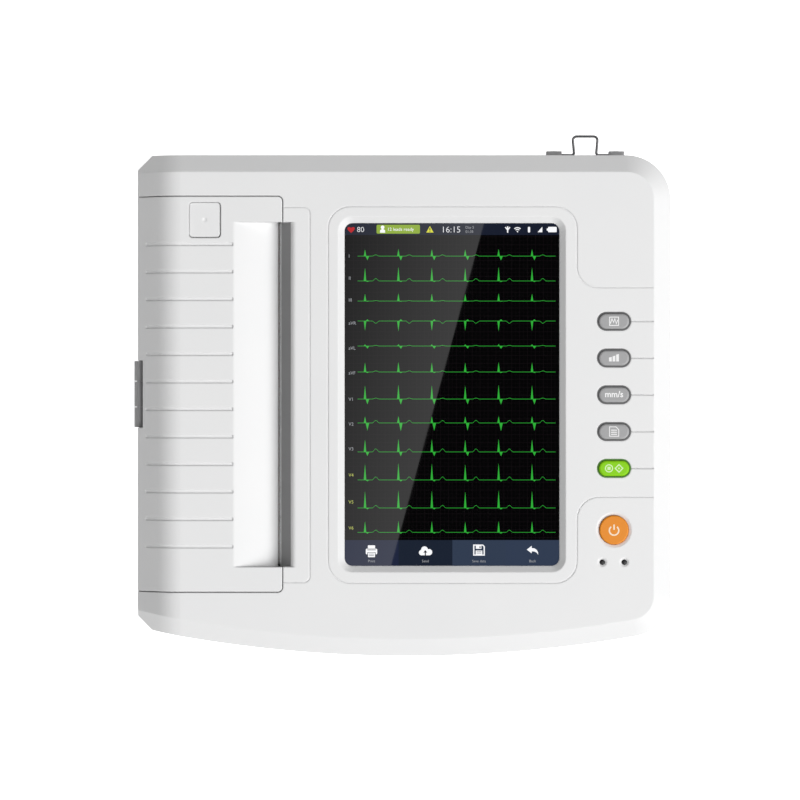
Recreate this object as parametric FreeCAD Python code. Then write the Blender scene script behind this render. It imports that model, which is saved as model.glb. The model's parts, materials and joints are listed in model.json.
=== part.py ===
"""A twelve-lead ECG recorder with a tilting paper cover, a 10.1 inch display and a key column.

Frame: millimetres, +Z up, +X to the operator's right, +Y to the back.
The origin is the centre of the bounding box, on the surface the feet rest on.
Each sub-part goes to parts/NAME.step.
"""
import FreeCAD
import Part
import math
import os

# ---- driving dimensions -------------------------------------------------------------------
X_LEFT, X_RIGHT = -167.4, 170.1        # side walls
Y_REAR = 151.1                         # rear wall
CLIP = 9.0                             # clipped corners on the left
REAR_R, FRONT_R = 28.0, 26.0           # plan radii of the right corners
BOW_R, BOW_X, BOW_Y = 836.7, 3.9, 671.0   # front edge, a long shallow arc
FRONT_X, FRONT_Y = 144.1, -127.4       # centre of the front right corner

Z_FLOOR, Z_TUB, Z_PART, Z_TOP = 3.0, 14.0, 48.0, 85.0
WALL = 2.6                             # housing wall
EDGE_WIDE, EDGE_DROP = 10.9, 9.0       # chamfer round the top
SLOPE = 42.0                           # left slope, degrees
BEND_X, BEND_Z, BEND_R = -139.7, 63.2, 21.8   # bend from the plateau into the slope

COVER_FRONT, COVER_REAR, COVER_RIGHT = -124.8, 124.6, -75.4
COVER_SKIN, COVER_SKIRT, COVER_GAP = 2.5, 8.0, 0.5
COVER_BOTTOM = 59.9
HINGE_X, HINGE_Z, HINGE_R, PIN_R = -167.3, 59.6, 2.8, 1.25
HINGE_HALF = 21.0
NOTCH_X = HINGE_X + HINGE_R + 0.35     # back of the cover's notch round the hinge
VALLEY_FRONT, VALLEY_REAR = -109.2, 108.5
CREASE_X, SLOT_X, SLOT_RIGHT = -106.8, -78.3, -76.8
SLOT_FOOT, BROW_X, BROW_Z = 71.5, -69.9, 82.9   # the steep wall right of the slot
RIM_X, SLOT_ROW = -66.9, -74.9
VALLEY_TURNS, VALLEY_RADII = (0, 13, 26, 74), (6.0, 92.9, 14.0)   # the ramp: slopes and radii
RIB_COUNT, RIB_FIRST, RIB_PITCH, RIB_WIDE, RIB_DEEP = 12, 94.6, 17.35, 2.0, 0.5
BUTTON_X, BUTTON_Y, BUTTON_WIDE, BUTTON_LONG = -124.4, 109.9, 19.3, 21.7
BUTTON_NEAR, BUTTON_FAR = 0.55, 0.2      # gaps round the button: right and front, left and rear

SCREEN = (-36.1, 99.5, -108.5, 107.9)  # visible area: x0, x1, y0, y1
BEVEL_WIDE, BEVEL_DEEP, GLASS_LIP = 4.0, 3.2, 1.0
GLASS_MARGIN, GLASS_THICK = 2.3, 1.6

KEY_X = 133.9
KEYS = (("key_waveform", 45.85), ("key_gain", 22.7), ("key_speed", -0.5),
        ("key_copy", -23.7), ("key_start", -46.9))
KEY_LONG, KEY_WIDE, KEY_RING = 19.5, 9.9, 1.0
POWER_Y, POWER_R = -85.8, 9.2
LED_X, LED_Y, LED_R = (126.5, 140.4), -106.1, 1.65
BOARD_TOP = 71.6                       # keypad board
SWITCH_TOP = 75.0

PAPER_HALF = 107.9
ROLL_X, ROLL_Z, ROLL_R, CORE_R = -128.0, 42.0, 27.0, 8.0
PLATEN_X, PLATEN_Z, PLATEN_R, SHAFT_R = -86.0, 62.0, 7.7, 3.0
IDLER_X, IDLER_Z = -80.5, 41.6
PINION_X, PINION_Z = -63.0, 37.0
TEETH_PLATEN, TEETH_IDLER, TEETH_PINION = 18, 24, 12
GEAR_REAR, GEAR_FRONT = 121.0, 116.0
LATCH_X, LATCH_Z, LATCH_R = -98.0, 74.5, 2.5

INLET_X, INLET_Z = 117.4, 30.0
BAIL_Y, BAIL_Z, BAIL_WIRE = 152.9, 41.0, 0.8
BAIL_NECK, BAIL_TOP, BAIL_REACH, LUG_X = 7.0, 8.1, 12.0, 20.0
GROUND_X, GROUND_Z = 78.0, 32.0
PORT_Y, PORT_Z = 40.0, 28.0            # patient connector, right wall
PANELS = ((-4.0, 142.0, 130.0, 160.0, 14.6, 45.0),      # rear connector panel: x, y, z ranges
          (158.0, 175.0, 13.0, 67.0, 14.6, 45.0))       # side connector panel

HOUSING_SCREWS = ((-151.0, 134.0, 82.0), (-56.0, 138.0, 82.6), (148.0, 128.0, 82.6),
                  (-151.0, -132.0, 82.0), (4.0, -150.0, 82.6), (150.0, -130.0, 82.6))
KEYPAD_SCREWS = tuple((x, y) for x in (119.5, 153.0) for y in (54.0, -62.0, -108.0))
FEET = tuple((x, y) for x in (-135.0, 138.0) for y in (-118.0, 118.0))
BAY = (0.0, 90.0, -130.0, -50.0)       # battery bay: x0, x1, y0, y1
BOARD = (-45.0, 90.0, -20.0, 146.0)    # main board
SPEAKER_X, SPEAKER_Y = -30.0, -95.0

PARTS = {}


# ---- small helpers ------------------------------------------------------------------------
def vec(x, y, z):
    return FreeCAD.Vector(x, y, z)


AXIS_X, AXIS_Y, AXIS_Z = vec(1, 0, 0), vec(0, 1, 0), vec(0, 0, 1)


def box(x0, x1, y0, y1, z0, z1):
    return Part.makeBox(x1 - x0, y1 - y0, z1 - z0, vec(x0, y0, z0))


def rod(radius, start, axis, length):
    return Part.makeCylinder(radius, length, start, axis)


def rod_y(radius, x, z, y0, y1):
    return rod(radius, vec(x, y0, z), AXIS_Y, y1 - y0)


def rod_z(radius, x, y, z0, z1):
    return rod(radius, vec(x, y, z0), AXIS_Z, z1 - z0)


def join(*shapes):
    return shapes[0].multiFuse(list(shapes[1:])).removeSplitter()


def arc(a, middle, b):
    return Part.Arc(a, middle, b).toShape()


def loop(points):
    return Part.makePolygon(list(points) + [points[0]])


def prism_xz(points, y0, y1):
    face = Part.Face(loop([vec(x, y0, z) for x, z in points]))
    return face.extrude(vec(0, y1 - y0, 0))


def round_rect(x0, x1, y0, y1, radius, z):
    """A closed wire: a rectangle with round corners, down to a stadium."""
    corners = ((x1 - radius, y1 - radius, 0), (x0 + radius, y1 - radius, 90),
               (x0 + radius, y0 + radius, 180), (x1 - radius, y0 + radius, 270))
    edges = []
    ends = []
    for cx, cy, first in corners:
        rim = [vec(cx + radius * math.cos(math.radians(first + a)),
                   cy + radius * math.sin(math.radians(first + a)), z) for a in (0, 45, 90)]
        edges.append(arc(*rim))
        ends.append((rim[0], rim[2]))
    for k in range(4):
        a, b = ends[k][1], ends[(k + 1) % 4][0]
        if a.distanceToPoint(b) > 1e-6:
            edges.append(Part.makeLine(a, b))
    return Part.Wire(Part.__sortEdges__(edges))


def slab(x0, x1, y0, y1, radius, z0, z1):
    return Part.Face(round_rect(x0, x1, y0, y1, radius, z0)).extrude(vec(0, 0, z1 - z0))


def stadium(x, y, length, width, z0, z1):
    half = length / 2
    return slab(x - half, x + half, y - width / 2, y + width / 2, width / 2, z0, z1)


def round_path(points, radii):
    """An open wire of straight runs joined by tangent arcs."""
    edges = []
    here = points[0]
    for before, corner, after, radius in zip(points, points[1:], points[2:], radii):
        come = (corner - before).normalize()
        leave = (after - corner).normalize()
        turn = come.getAngle(leave)
        reach = radius * math.tan(turn / 2)
        start = corner - come * reach
        end = corner + leave * reach
        inward = (leave - come).normalize()
        middle = corner + inward * (radius / math.cos(turn / 2) - radius)
        edges.append(Part.makeLine(here, start))
        edges.append(arc(start, middle, end))
        here = end
    edges.append(Part.makeLine(here, points[-1]))
    return Part.Wire(edges)


def top_groove(points, radii, width, depth):
    """The space of a narrow groove in the top face, along a rounded route."""
    route = round_path([vec(x, y, Z_TOP - depth) for x, y in points], radii)
    band = route.makeOffset2D(width / 2)
    return Part.Face(band).extrude(vec(0, 0, depth + 1))


def wire_tube(route, radius):
    """A round wire along a route."""
    first = route.OrderedEdges[0]
    start = first.valueAt(first.FirstParameter)
    along = first.tangentAt(first.FirstParameter)
    section = Part.Wire(Part.makeCircle(radius, start, along))
    return route.makePipeShell([section], True, False)


def coil_spring(radius, wire, length, turns, base, axis):
    """A helical spring standing on base along axis, with its ends inside its length."""
    helix = Part.makeHelix((length - 2 * wire) / turns, length - 2 * wire, radius)
    section = Part.Wire(Part.makeCircle(wire, vec(radius, 0, 0), AXIS_Y))
    coil = helix.makePipeShell([section], True, True)
    coil.translate(vec(0, 0, wire))
    coil.Placement = FreeCAD.Placement(base, FreeCAD.Rotation(AXIS_Z, axis)).multiply(coil.Placement)
    return coil


def add(name, shape):
    """Keep a sub-part, as one solid or as a group of separate solids."""
    solids = shape.Solids
    PARTS[name] = solids[0] if len(solids) == 1 else Part.makeCompound(solids)
    return PARTS[name]


# ---- the housing's outer form -------------------------------------------------------------
def outline(inset, z, left=None):
    """The plan outline moved in by inset, at height z. left squares it off at that x."""
    bow = BOW_R - inset
    rear, right = Y_REAR - inset, X_RIGHT - inset
    reach = math.hypot(FRONT_X - BOW_X, FRONT_Y - BOW_Y)
    ux, uy = (FRONT_X - BOW_X) / reach, (FRONT_Y - BOW_Y) / reach
    corner = FRONT_R - inset
    half = math.atan2(uy, ux) / 2
    rear_corner = REAR_R - inset
    spread = math.sqrt(0.5) * rear_corner
    front_end = vec(FRONT_X + ux * corner, FRONT_Y + uy * corner, z)
    if left is None:
        cut = (math.sqrt(2) - 1) * inset
        low_y = BOW_Y - math.sqrt(BOW_R ** 2 - (X_LEFT + CLIP - BOW_X) ** 2)
        total = X_LEFT + CLIP + low_y + inset * math.sqrt(2)   # x + y on the front clip
        k = BOW_X + total - BOW_Y
        c = (BOW_X ** 2 + (total - BOW_Y) ** 2 - bow ** 2) / 2
        meet_x = (k + math.sqrt(k * k - 4 * c)) / 2
        tail = [vec(meet_x, total - meet_x, z), vec(X_LEFT + inset, total - X_LEFT - inset, z),
                vec(X_LEFT + inset, Y_REAR - CLIP - cut, z), vec(X_LEFT + CLIP + cut, rear, z)]
    else:
        tail = [vec(left, BOW_Y - math.sqrt(bow ** 2 - (left - BOW_X) ** 2), z), vec(left, rear, z)]
    rear_start = vec(X_RIGHT - REAR_R, rear, z)
    edges = [Part.makeLine(tail[-1], rear_start),
             arc(rear_start, vec(X_RIGHT - REAR_R + spread, Y_REAR - REAR_R + spread, z),
                 vec(right, Y_REAR - REAR_R, z)),
             Part.makeLine(vec(right, Y_REAR - REAR_R, z), vec(right, FRONT_Y, z)),
             arc(vec(right, FRONT_Y, z),
                 vec(FRONT_X + corner * math.cos(half), FRONT_Y + corner * math.sin(half), z),
                 front_end),
             arc(front_end, vec(BOW_X, BOW_Y - bow, z), tail[0])]
    edges += [Part.makeLine(a, b) for a, b in zip(tail, tail[1:])]
    return Part.Wire(edges)


def prism(inset, z0, z1):
    return Part.Face(outline(inset, z0)).extrude(vec(0, 0, z1 - z0))


def slope_face(depth, y):
    """The left end's cross-section, depth below the outer surface, in the plane at y."""
    turn = math.radians(SLOPE)
    radius = BEND_R - depth
    bend = [vec(BEND_X - radius * math.sin(a), y, BEND_Z + radius * math.cos(a))
            for a in (0, turn / 2, turn)]
    low_x = X_LEFT - 20
    low = vec(low_x, y, bend[2].z - (bend[2].x - low_x) * math.tan(turn))
    foot = vec(BEND_X, y, low.z)
    edges = [arc(*bend), Part.makeLine(bend[2], low), Part.makeLine(low, foot),
             Part.makeLine(foot, bend[0])]
    return Part.Face(Part.Wire(edges))


def upper_form(depth):
    """The upper housing as a solid, depth inside its outer surface, from Z_PART up."""
    tilt = math.atan2(EDGE_DROP, EDGE_WIDE)
    top = Z_TOP - depth
    low = Z_TOP - EDGE_DROP + depth * (math.tan(tilt) - 1 / math.cos(tilt))
    inset_top = (EDGE_DROP - depth + depth / math.cos(tilt)) / math.tan(tilt)
    run = inset_top - depth
    base = Part.Face(outline(depth, Z_PART, BEND_X)).extrude(vec(0, 0, low - Z_PART))
    crown = Part.makeLoft([outline(depth, low, BEND_X), outline(inset_top, top, BEND_X)], True, True)
    right = base.fuse(crown)
    # Left end: one cross-section carried along Y, then down and out over both chamfers.
    rear_y = Y_REAR - inset_top
    bow_top, bow_low = BOW_R - inset_top, BOW_R - depth
    near = BOW_Y - math.sqrt(bow_top ** 2 - (BEND_X - BOW_X) ** 2)
    far_x = X_LEFT + CLIP
    far = BOW_Y - math.sqrt(bow_top ** 2 - (far_x - BOW_X) ** 2)
    foot = BOW_Y - math.sqrt(bow_low ** 2 - (BEND_X - BOW_X) ** 2)
    lean = (far - near) / (far_x - BEND_X)
    x0, x1 = X_LEFT - 30, BEND_X + 10
    plane = Part.Face(loop([vec(x0, near + lean * (x0 - BEND_X), -300),
                            vec(x1, near + lean * (x1 - BEND_X), -300),
                            vec(x1, near + lean * (x1 - BEND_X), 200),
                            vec(x0, near + lean * (x0 - BEND_X), 200)]))
    long_body = slope_face(depth, -200).extrude(vec(0, 200 + rear_y, 0))
    body = long_body.cut(plane.extrude(vec(0, -200, 0)))
    section = long_body.common(plane).Faces[0]
    front_cap = section.extrude(vec(0, foot - near, low - top))
    rear_cap = slope_face(depth, rear_y).extrude(vec(0, run, low - top))
    end = body.multiFuse([front_cap, rear_cap])
    end = end.common(prism(depth, Z_PART, Z_TOP + 1))
    whole = right.fuse(end).removeSplitter()
    return whole.Solids[0]


def lower_form(inset, floor):
    """The lower housing as a solid: straight walls on a tapered foot."""
    foot = Part.makeLoft([outline(9.0 + inset, floor), outline(0.6 + inset, Z_TUB)], True, True)
    return foot.fuse(prism(0.6 + inset, Z_TUB, Z_PART)).removeSplitter()


# ---- cover --------------------------------------------------------------------------------
def valley_space(drop, front, rear):
    """The paper valley in the cover, drop below its surface: a ramp that curls down to the slot."""
    here = vec(CREASE_X, front, Z_TOP - drop)
    edges = []
    for first, last, radius in zip(VALLEY_TURNS, VALLEY_TURNS[1:], VALLEY_RADII):
        a, b = math.radians(first), math.radians(last)
        r = radius - drop
        points = [here + vec(r * (math.sin(t) - math.sin(a)), 0, r * (math.cos(t) - math.cos(a)))
                  for t in (a, (a + b) / 2, b)]
        edges.append(arc(*points))
        here = points[-1]
    if drop:
        rest = [here, vec(SLOT_X, front, here.z), vec(SLOT_X, front, Z_TOP),
                vec(CREASE_X, front, Z_TOP), vec(CREASE_X, front, Z_TOP - drop)]
    else:
        out = COVER_RIGHT + 6
        rest = [here, vec(here.x, front, 55.0), vec(out, front, 55.0), vec(out, front, Z_TOP + 5),
                vec(CREASE_X, front, Z_TOP + 5), vec(CREASE_X, front, Z_TOP)]
    edges += [Part.makeLine(a, b) for a, b in zip(rest, rest[1:])]
    return Part.Face(Part.Wire(edges)).extrude(vec(0, rear - front, 0))


def cover_slab(gap, z0):
    x0 = X_LEFT - 40
    return slab(x0, COVER_RIGHT + gap, COVER_FRONT - gap, COVER_REAR + gap, 3.0 + gap, z0, 95)


def hinge_leaf(side):
    """Knuckles and leaf: side is cover or body."""
    if side == "body":
        spans = ((-HINGE_HALF, -8.4), (8.4, HINGE_HALF))
        leaf = join(*[box(HINGE_X, -163.6, a, b, 57.0, 58.2) for a, b in spans],
                    box(-164.8, -163.6, -HINGE_HALF, HINGE_HALF, 50.0, 58.2))
        bore = PIN_R
    else:
        spans = ((-8.0, 8.0),)
        leaf = join(box(NOTCH_X + 1.8, NOTCH_X + 3.0, -16.0, 16.0, 59.3, 68.5),
                    box(HINGE_X, NOTCH_X + 3.0, -8.0, 8.0, 59.3, 60.5))
        bore = PIN_R + 0.05
    knuckles = [rod_y(HINGE_R, HINGE_X, HINGE_Z, a, b) for a, b in spans]
    leaf = join(leaf, *knuckles)
    return leaf.cut(rod_y(bore, HINGE_X, HINGE_Z, -30, 30))


def cover_ribs(skin):
    """Shallow grooves across the cover, following its top and slope."""
    half = RIB_WIDE / 2
    bars = []
    for k in range(RIB_COUNT):
        y = RIB_FIRST - RIB_PITCH * k
        bars.append(box(-162.0, -106.5 if y < VALLEY_REAR else -110.0, y - half, y + half, 55, 90))
    return skin.common(Part.makeCompound(bars))


def make_cover(outer, form):
    shell = outer.common(cover_slab(0, COVER_BOTTOM))
    hollow = form[COVER_SKIN].common(slab(X_LEFT - 40, COVER_RIGHT - 2.4, COVER_FRONT + 2.4,
                                          COVER_REAR - 2.4, 0.8, COVER_BOTTOM - 20, 95))
    cover = shell.cut(hollow).cut(form[COVER_SKIRT])
    basin = valley_space(COVER_SKIN, VALLEY_FRONT - 2.4, VALLEY_REAR + 2.4)
    # Bearing lugs for the platen and the latch bar, and the shelf below the button.
    lugs = []
    for side in (-1, 1):
        inner = VALLEY_REAR if side > 0 else -VALLEY_FRONT
        lugs.append(box(-92, -80, *sorted((side * inner, side * 112.4)), 56, 76))
        lugs.append(box(-101.5, -94.5, *sorted((side * 112.6, side * 115.5)), 71, 83))
    shelf = box(-137.4, -111.4, 104, 116, 76.5, 77.7)
    legs = [box(-137.4, -136.2, 104, 116, 76.5, 83), box(-112.6, -111.4, 104, 116, 76.5, 83)]
    pad = box(X_LEFT, NOTCH_X + 1.8, -24, 24, COVER_BOTTOM, 74).common(outer)
    cover = cover.multiFuse([basin.common(outer), shelf, pad] + legs + lugs)
    cover = cover.cut(valley_space(0, VALLEY_FRONT, VALLEY_REAR))
    tools = [cover_ribs(outer.cut(form[RIB_DEEP])),
             rod_y(HINGE_R + 0.35, HINGE_X, HINGE_Z, -HINGE_HALF - 0.3, HINGE_HALF + 0.3),
             box(HINGE_X - 5, NOTCH_X, -HINGE_HALF - 0.3, HINGE_HALF + 0.3, HINGE_Z, 90),
             hinge_leaf("cover"),
             slab(BUTTON_X - BUTTON_WIDE / 2 - BUTTON_FAR, BUTTON_X + BUTTON_WIDE / 2 + BUTTON_NEAR,
                  BUTTON_Y - BUTTON_LONG / 2 - BUTTON_NEAR, BUTTON_Y + BUTTON_LONG / 2 + BUTTON_FAR,
                  2.3, 78.5, 90),
             rod_z(3.4, BUTTON_X, BUTTON_Y, 70, 80),
             rod_y(5.0, PLATEN_X, PLATEN_Z, -115, 115),
             rod_y(LATCH_R + 0.1, LATCH_X, LATCH_Z, -120, 120)]
    return cover.cut(tools).removeSplitter()


def make_button():
    half_x, half_y = BUTTON_WIDE / 2, BUTTON_LONG / 2
    cap = slab(BUTTON_X - half_x, BUTTON_X + half_x, BUTTON_Y - half_y, BUTTON_Y + half_y, 2, 81.0, 84.3)
    rim = [e for e in cap.Edges if e.BoundBox.ZMin > 84.2]
    cap = cap.makeFillet(0.2, rim)
    flange = slab(BUTTON_X - 11.2, BUTTON_X + 11.2, BUTTON_Y - 11.7, BUTTON_Y + 11.7, 2, 81.0, 82.2)
    stem = rod_z(3.0, BUTTON_X, BUTTON_Y, 76.2, 81.5)
    dimple = Part.makeSphere(3.0, vec(BUTTON_X, BUTTON_Y, 84.3 + 2.6))
    return join(cap, flange, stem).cut(dimple)


def make_latch():
    bar = rod_y(LATCH_R, LATCH_X, LATCH_Z, -119, 119)
    hook = [(-100.5, 74.5), (-96.8, 74.5), (-98.6, 54.5), (-105.0, 54.5), (-104.0, 57.5), (-100.5, 57.8)]
    hooks = [prism_xz(hook, a, b) for a, b in ((-119.5, -116.9), (116.9, 119.5))]
    arm = box(-126.0, LATCH_X, 107.0, 112.0, 74.0, 76.0)
    return join(bar, arm, *hooks)


# ---- upper housing ------------------------------------------------------------------------
def slot_wall():
    """The steep wall to the right of the paper slot, and the space it faces."""
    block = prism_xz([(SLOT_RIGHT, 69), (-74.3, 69), (-63.5, 79.0), (-63.5, 84),
                      (SLOT_ROW, 84), (SLOT_ROW, 75), (SLOT_RIGHT, 72)],
                     VALLEY_FRONT - 2.4, VALLEY_REAR + 2.4)
    keep = box(-76.9, -60, VALLEY_FRONT, VALLEY_REAR, 60, 90)
    rows = box(SLOT_ROW, -60, VALLEY_FRONT - 3, VALLEY_REAR + 3, 60, 90)
    block = block.common(keep.fuse(rows))
    front = VALLEY_FRONT
    foot, brow, rim = vec(SLOT_RIGHT, front, SLOT_FOOT), vec(BROW_X, front, BROW_Z), vec(RIM_X, front, Z_TOP)
    bend = vec(-68.7, front, 84.4)
    corners = [rim, vec(rim.x, front, 90), vec(-80, front, 90), vec(-80, front, SLOT_FOOT), foot]
    edges = [Part.makeLine(foot, brow), arc(brow, bend, rim)]
    edges += [Part.makeLine(a, b) for a, b in zip(corners, corners[1:])]
    space = Part.Face(Part.Wire(edges)).extrude(vec(0, VALLEY_REAR - front, 0))
    return block, space


def tear_strip():
    """The cutting strip let into the steep wall."""
    run, rise = BROW_X - SLOT_RIGHT, BROW_Z - SLOT_FOOT
    slant = math.hypot(run, rise)
    ux, uz = run / slant, rise / slant
    deep, start, end = 0.9, 0.95, slant - 0.4
    corners = []
    for along, inward in ((start, 0), (end, 0), (end, deep), (start, deep)):
        corners.append((SLOT_RIGHT + ux * along + uz * inward, SLOT_FOOT + uz * along - ux * inward))
    return prism_xz(corners, VALLEY_FRONT + 0.4, VALLEY_REAR - 0.4)


def display_cuts():
    x0, x1, y0, y1 = SCREEN
    low = Z_TOP - BEVEL_DEEP
    wide = BEVEL_WIDE
    bevel = Part.makeLoft([round_rect(x0 - wide, x1 + wide, y0 - wide, y1 + wide, 5 + wide, Z_TOP),
                           round_rect(x0, x1, y0, y1, 5, low)], True, True)
    above = slab(x0 - wide, x1 + wide, y0 - wide, y1 + wide, 5 + wide, Z_TOP, Z_TOP + 2)
    window = slab(x0, x1, y0, y1, 5, low - GLASS_LIP - 0.5, low)
    m = GLASS_MARGIN + 0.3
    pocket = slab(x0 - m, x1 + m, y0 - m, y1 + m, 4, 70, low - GLASS_LIP)
    return [bevel.fuse(above), window, pocket]


def make_upper(outer, form):
    shell = outer.cut(form[WALL])
    x0, x1, y0, y1 = SCREEN
    frame = box(x0 - 6.5, x1 + 6.5, y0 - 6.5, y1 + 6.5, 79.5, 83)
    block, space = slot_wall()
    posts = [rod_z(2.4, x, y, BOARD_TOP, 83) for x, y in KEYPAD_SCREWS]
    posts += [rod_z(4.0, x, y, Z_PART, top).common(form[RIB_DEEP]) for x, y, top in HOUSING_SCREWS]
    shell = shell.cut(cover_slab(COVER_GAP, COVER_BOTTOM - 0.3))
    shell = shell.cut(box(-172, -162.5, -HINGE_HALF - 0.3, HINGE_HALF + 0.3, 56.4, 62))
    shell = shell.multiFuse([frame, block] + posts)
    tools = [space, tear_strip()] + display_cuts()
    for name, y in KEYS:
        tools.append(stadium(KEY_X, y, KEY_LONG + 2 * KEY_RING, KEY_WIDE + 2 * KEY_RING, 78, 90))
        tools.append(box(144.5, 159.0, y - 0.3, y + 0.3, Z_TOP - 0.6, 90))
    tools.append(rod_z(POWER_R + 0.2, KEY_X, POWER_Y, 75, 90))
    tools.append(Part.makeCone(POWER_R + 0.2, POWER_R + 2.05, 1.0, vec(KEY_X, POWER_Y, Z_TOP - 1.0)))
    for x in LED_X:
        tools.append(rod_z(LED_R, x, LED_Y, 75, 90))
        tools.append(Part.makeCone(LED_R, 3.0, 1.0, vec(x, LED_Y, Z_TOP - 1.0)))
    tools += [rod_z(1.0, x, y, BOARD_TOP - 1, 80) for x, y in KEYPAD_SCREWS]
    tools += [rod_z(1.5, x, y, Z_PART - 1, 66) for x, y, top in HOUSING_SCREWS]
    tools.append(top_groove([(-74.4, 117.8), (-58.0, 117.8), (-58.0, -118.9), (-74.4, -118.9)],
                            (4, 4), 0.5, 0.4))
    tools.append(top_groove([(158.5, 67.2), (110.6, 67.2), (110.6, 118.3), (-46.5, 118.3),
                             (-46.5, -119.3), (110.6, -119.3), (110.6, -65.0), (158.5, -65.0)],
                            (13, 14, 14, 14, 14, 14), 0.5, 0.4))
    return shell.cut(tools).removeSplitter()


# ---- lower housing ------------------------------------------------------------------------
def inlet_cup():
    """Outer block and inner space of the pocket round the mains inlet."""
    x, z = INLET_X, INLET_Z
    return (box(x - 17.5, x + 17.5, 138.2, 150, z - 14, z + 14),
            [box(x - 15.5, x + 15.5, 140.4, 160, z - 12, z + 12),
             box(x - 13.6, x + 13.6, 130, 150, z - 9.85, z + 9.85)])


def make_lower():
    shell = lower_form(0, Z_FLOOR).cut(lower_form(WALL, Z_FLOOR + WALL))
    tongue = prism(2.75, 45.5, 49.8).cut(prism(4.2, 40, 60))
    fields = [tongue]
    spaces = []
    for x, y, top in HOUSING_SCREWS:
        fields.append(rod_z(5.5, x, y, Z_FLOOR, Z_PART))
        spaces.append(rod_z(4.2, x, y, 0, 12))
        spaces.append(rod_z(2.0, x, y, 0, 60))
    x0, x1, y0, y1 = BAY
    fields.append(box(x0 - 2.5, x1 + 2.5, y0 - 2.5, y1 + 2.5, 4, 30))
    spaces.append(box(x0, x1, y0, y1, 0, 40).cut(box(x0, x0 + 8, -95, -85, 5.4, 14))
                  .cut(box(x1 - 8, x1, -95, -85, 5.4, 14)))
    spaces += [rod_z(1.0, x, -90, 0, 13) for x in (x0 + 4, x1 - 4)]
    for x, y in board_posts():
        fields.append(rod_z(3.2, x, y, 4, 14))
        spaces.append(rod_z(1.0, x, y, 7, 20))
    cup, cup_spaces = inlet_cup()
    fields.append(cup)
    spaces += cup_spaces
    fields.append(rod_y(11, GROUND_X, GROUND_Z, 137.4, 150))
    spaces += [rod_y(9, GROUND_X, GROUND_Z, 139.4, 160), rod_y(3, GROUND_X, GROUND_Z, 130, 150)]
    fields.append(box(160, 168.5, PORT_Y - 24, PORT_Y + 24, PORT_Z - 11, PORT_Z + 11))
    spaces.append(box(162, 175, PORT_Y - 22, PORT_Y + 22, PORT_Z - 9, PORT_Z + 9))
    spaces.append(box(155, 165, PORT_Y - 13, PORT_Y + 13, PORT_Z - 5, PORT_Z + 5))
    spaces.append(box(4.6, 18.4, 145, 160, 15.9, 23.1))
    spaces.append(box(27.4, 43.6, 145, 160, 15.9, 29.3))
    for k in range(9):
        spaces.append(stand_slot(-112.0 + 9 * k, 26, 40))
    for k in range(5):
        spaces.append(stadium(SPEAKER_X, SPEAKER_Y + 6 * (k - 2), 26, 2.4, 0, 8))
    for side in (-1, 1):
        x = INLET_X + side * LUG_X
        spaces.append(rod(1.0, vec(x, 140, 34), AXIS_Y, 20))
    for x, y in FEET:
        spaces.append(rod_z(3.0, x, y, 0, 10))
    shell = shell.multiFuse(fields)
    shell = shell.common(lower_form(0, Z_FLOOR).fuse(prism(2.75, 44, 49.8)))
    return shell.cut(spaces).removeSplitter()


def stand_slot(x, z0, z1):
    """One upright vent slot through the rear wall."""
    slot = join(box(x - 1.5, x + 1.5, 145, 155, z0, z1), rod_y(1.5, x, z0, 145, 155),
                rod_y(1.5, x, z1, 145, 155))
    return slot


def board_posts():
    x0, x1, y0, y1 = BOARD
    return [(x, y) for x in (x0 + 5, x1 - 5) for y in (y0 + 5, y1 - 30)]


def make_housing():
    depths = (RIB_DEEP, COVER_SKIN, WALL, COVER_SKIRT)
    outer = upper_form(0)
    form = {depth: upper_form(depth) for depth in depths}
    add("upper_housing", make_upper(outer, form))
    lower = make_lower()
    regions = [box(*ranges) for ranges in PANELS]
    add("lower_housing", lower.cut(regions))
    add("connector_panels", Part.makeCompound(
        [solid for region in regions for solid in lower.common(region).Solids]))
    add("paper_cover", make_cover(outer, form))
    add("tear_bar", tear_strip())
    add("rubber_feet", Part.makeCompound(
        [join(Part.makeCone(8.0, 9.0, 1.0, vec(x, y, 0)), rod_z(9, x, y, 1.0, Z_FLOOR),
              rod_z(3.0, x, y, Z_FLOOR, 8.0)) for x, y in FEET]))
    x0, x1, y0, y1 = BAY
    lid = slab(x0 + 0.3, x1 - 0.3, y0 + 0.3, y1 - 0.3, 1.5, Z_FLOOR, 5.4)
    lid = lid.cut([rod_z(1.4, x, -90, 0, 8) for x in (x0 + 4, x1 - 4)]
                  + [rod_z(2.6, x, -90, 0, 4.4) for x in (x0 + 4, x1 - 4)])
    add("battery_cover", lid)
    add("battery_pack", slab(x0 + 9, x1 - 9, y0 + 2, y1 - 2, 4, 5.6, 28))


# ---- fasteners ----------------------------------------------------------------------------
def screw(head_r, head_h, shank_r, length, point, axis):
    """A screw whose shank starts at point and runs along axis."""
    head = rod(head_r, point - axis * head_h, axis, head_h)
    slot = box(-0.5, 0.5, -head_r, head_r, -head_h, -head_h * 0.55)
    slot = slot.fuse(box(-head_r, head_r, -0.5, 0.5, -head_h, -head_h * 0.55))
    slot = slot.common(rod(head_r * 0.6, vec(0, 0, -head_h), AXIS_Z, head_h))
    slot.Placement = FreeCAD.Placement(point, FreeCAD.Rotation(AXIS_Z, axis))
    return head.fuse(rod(shank_r, point, axis, length)).removeSplitter().cut(slot)


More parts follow.
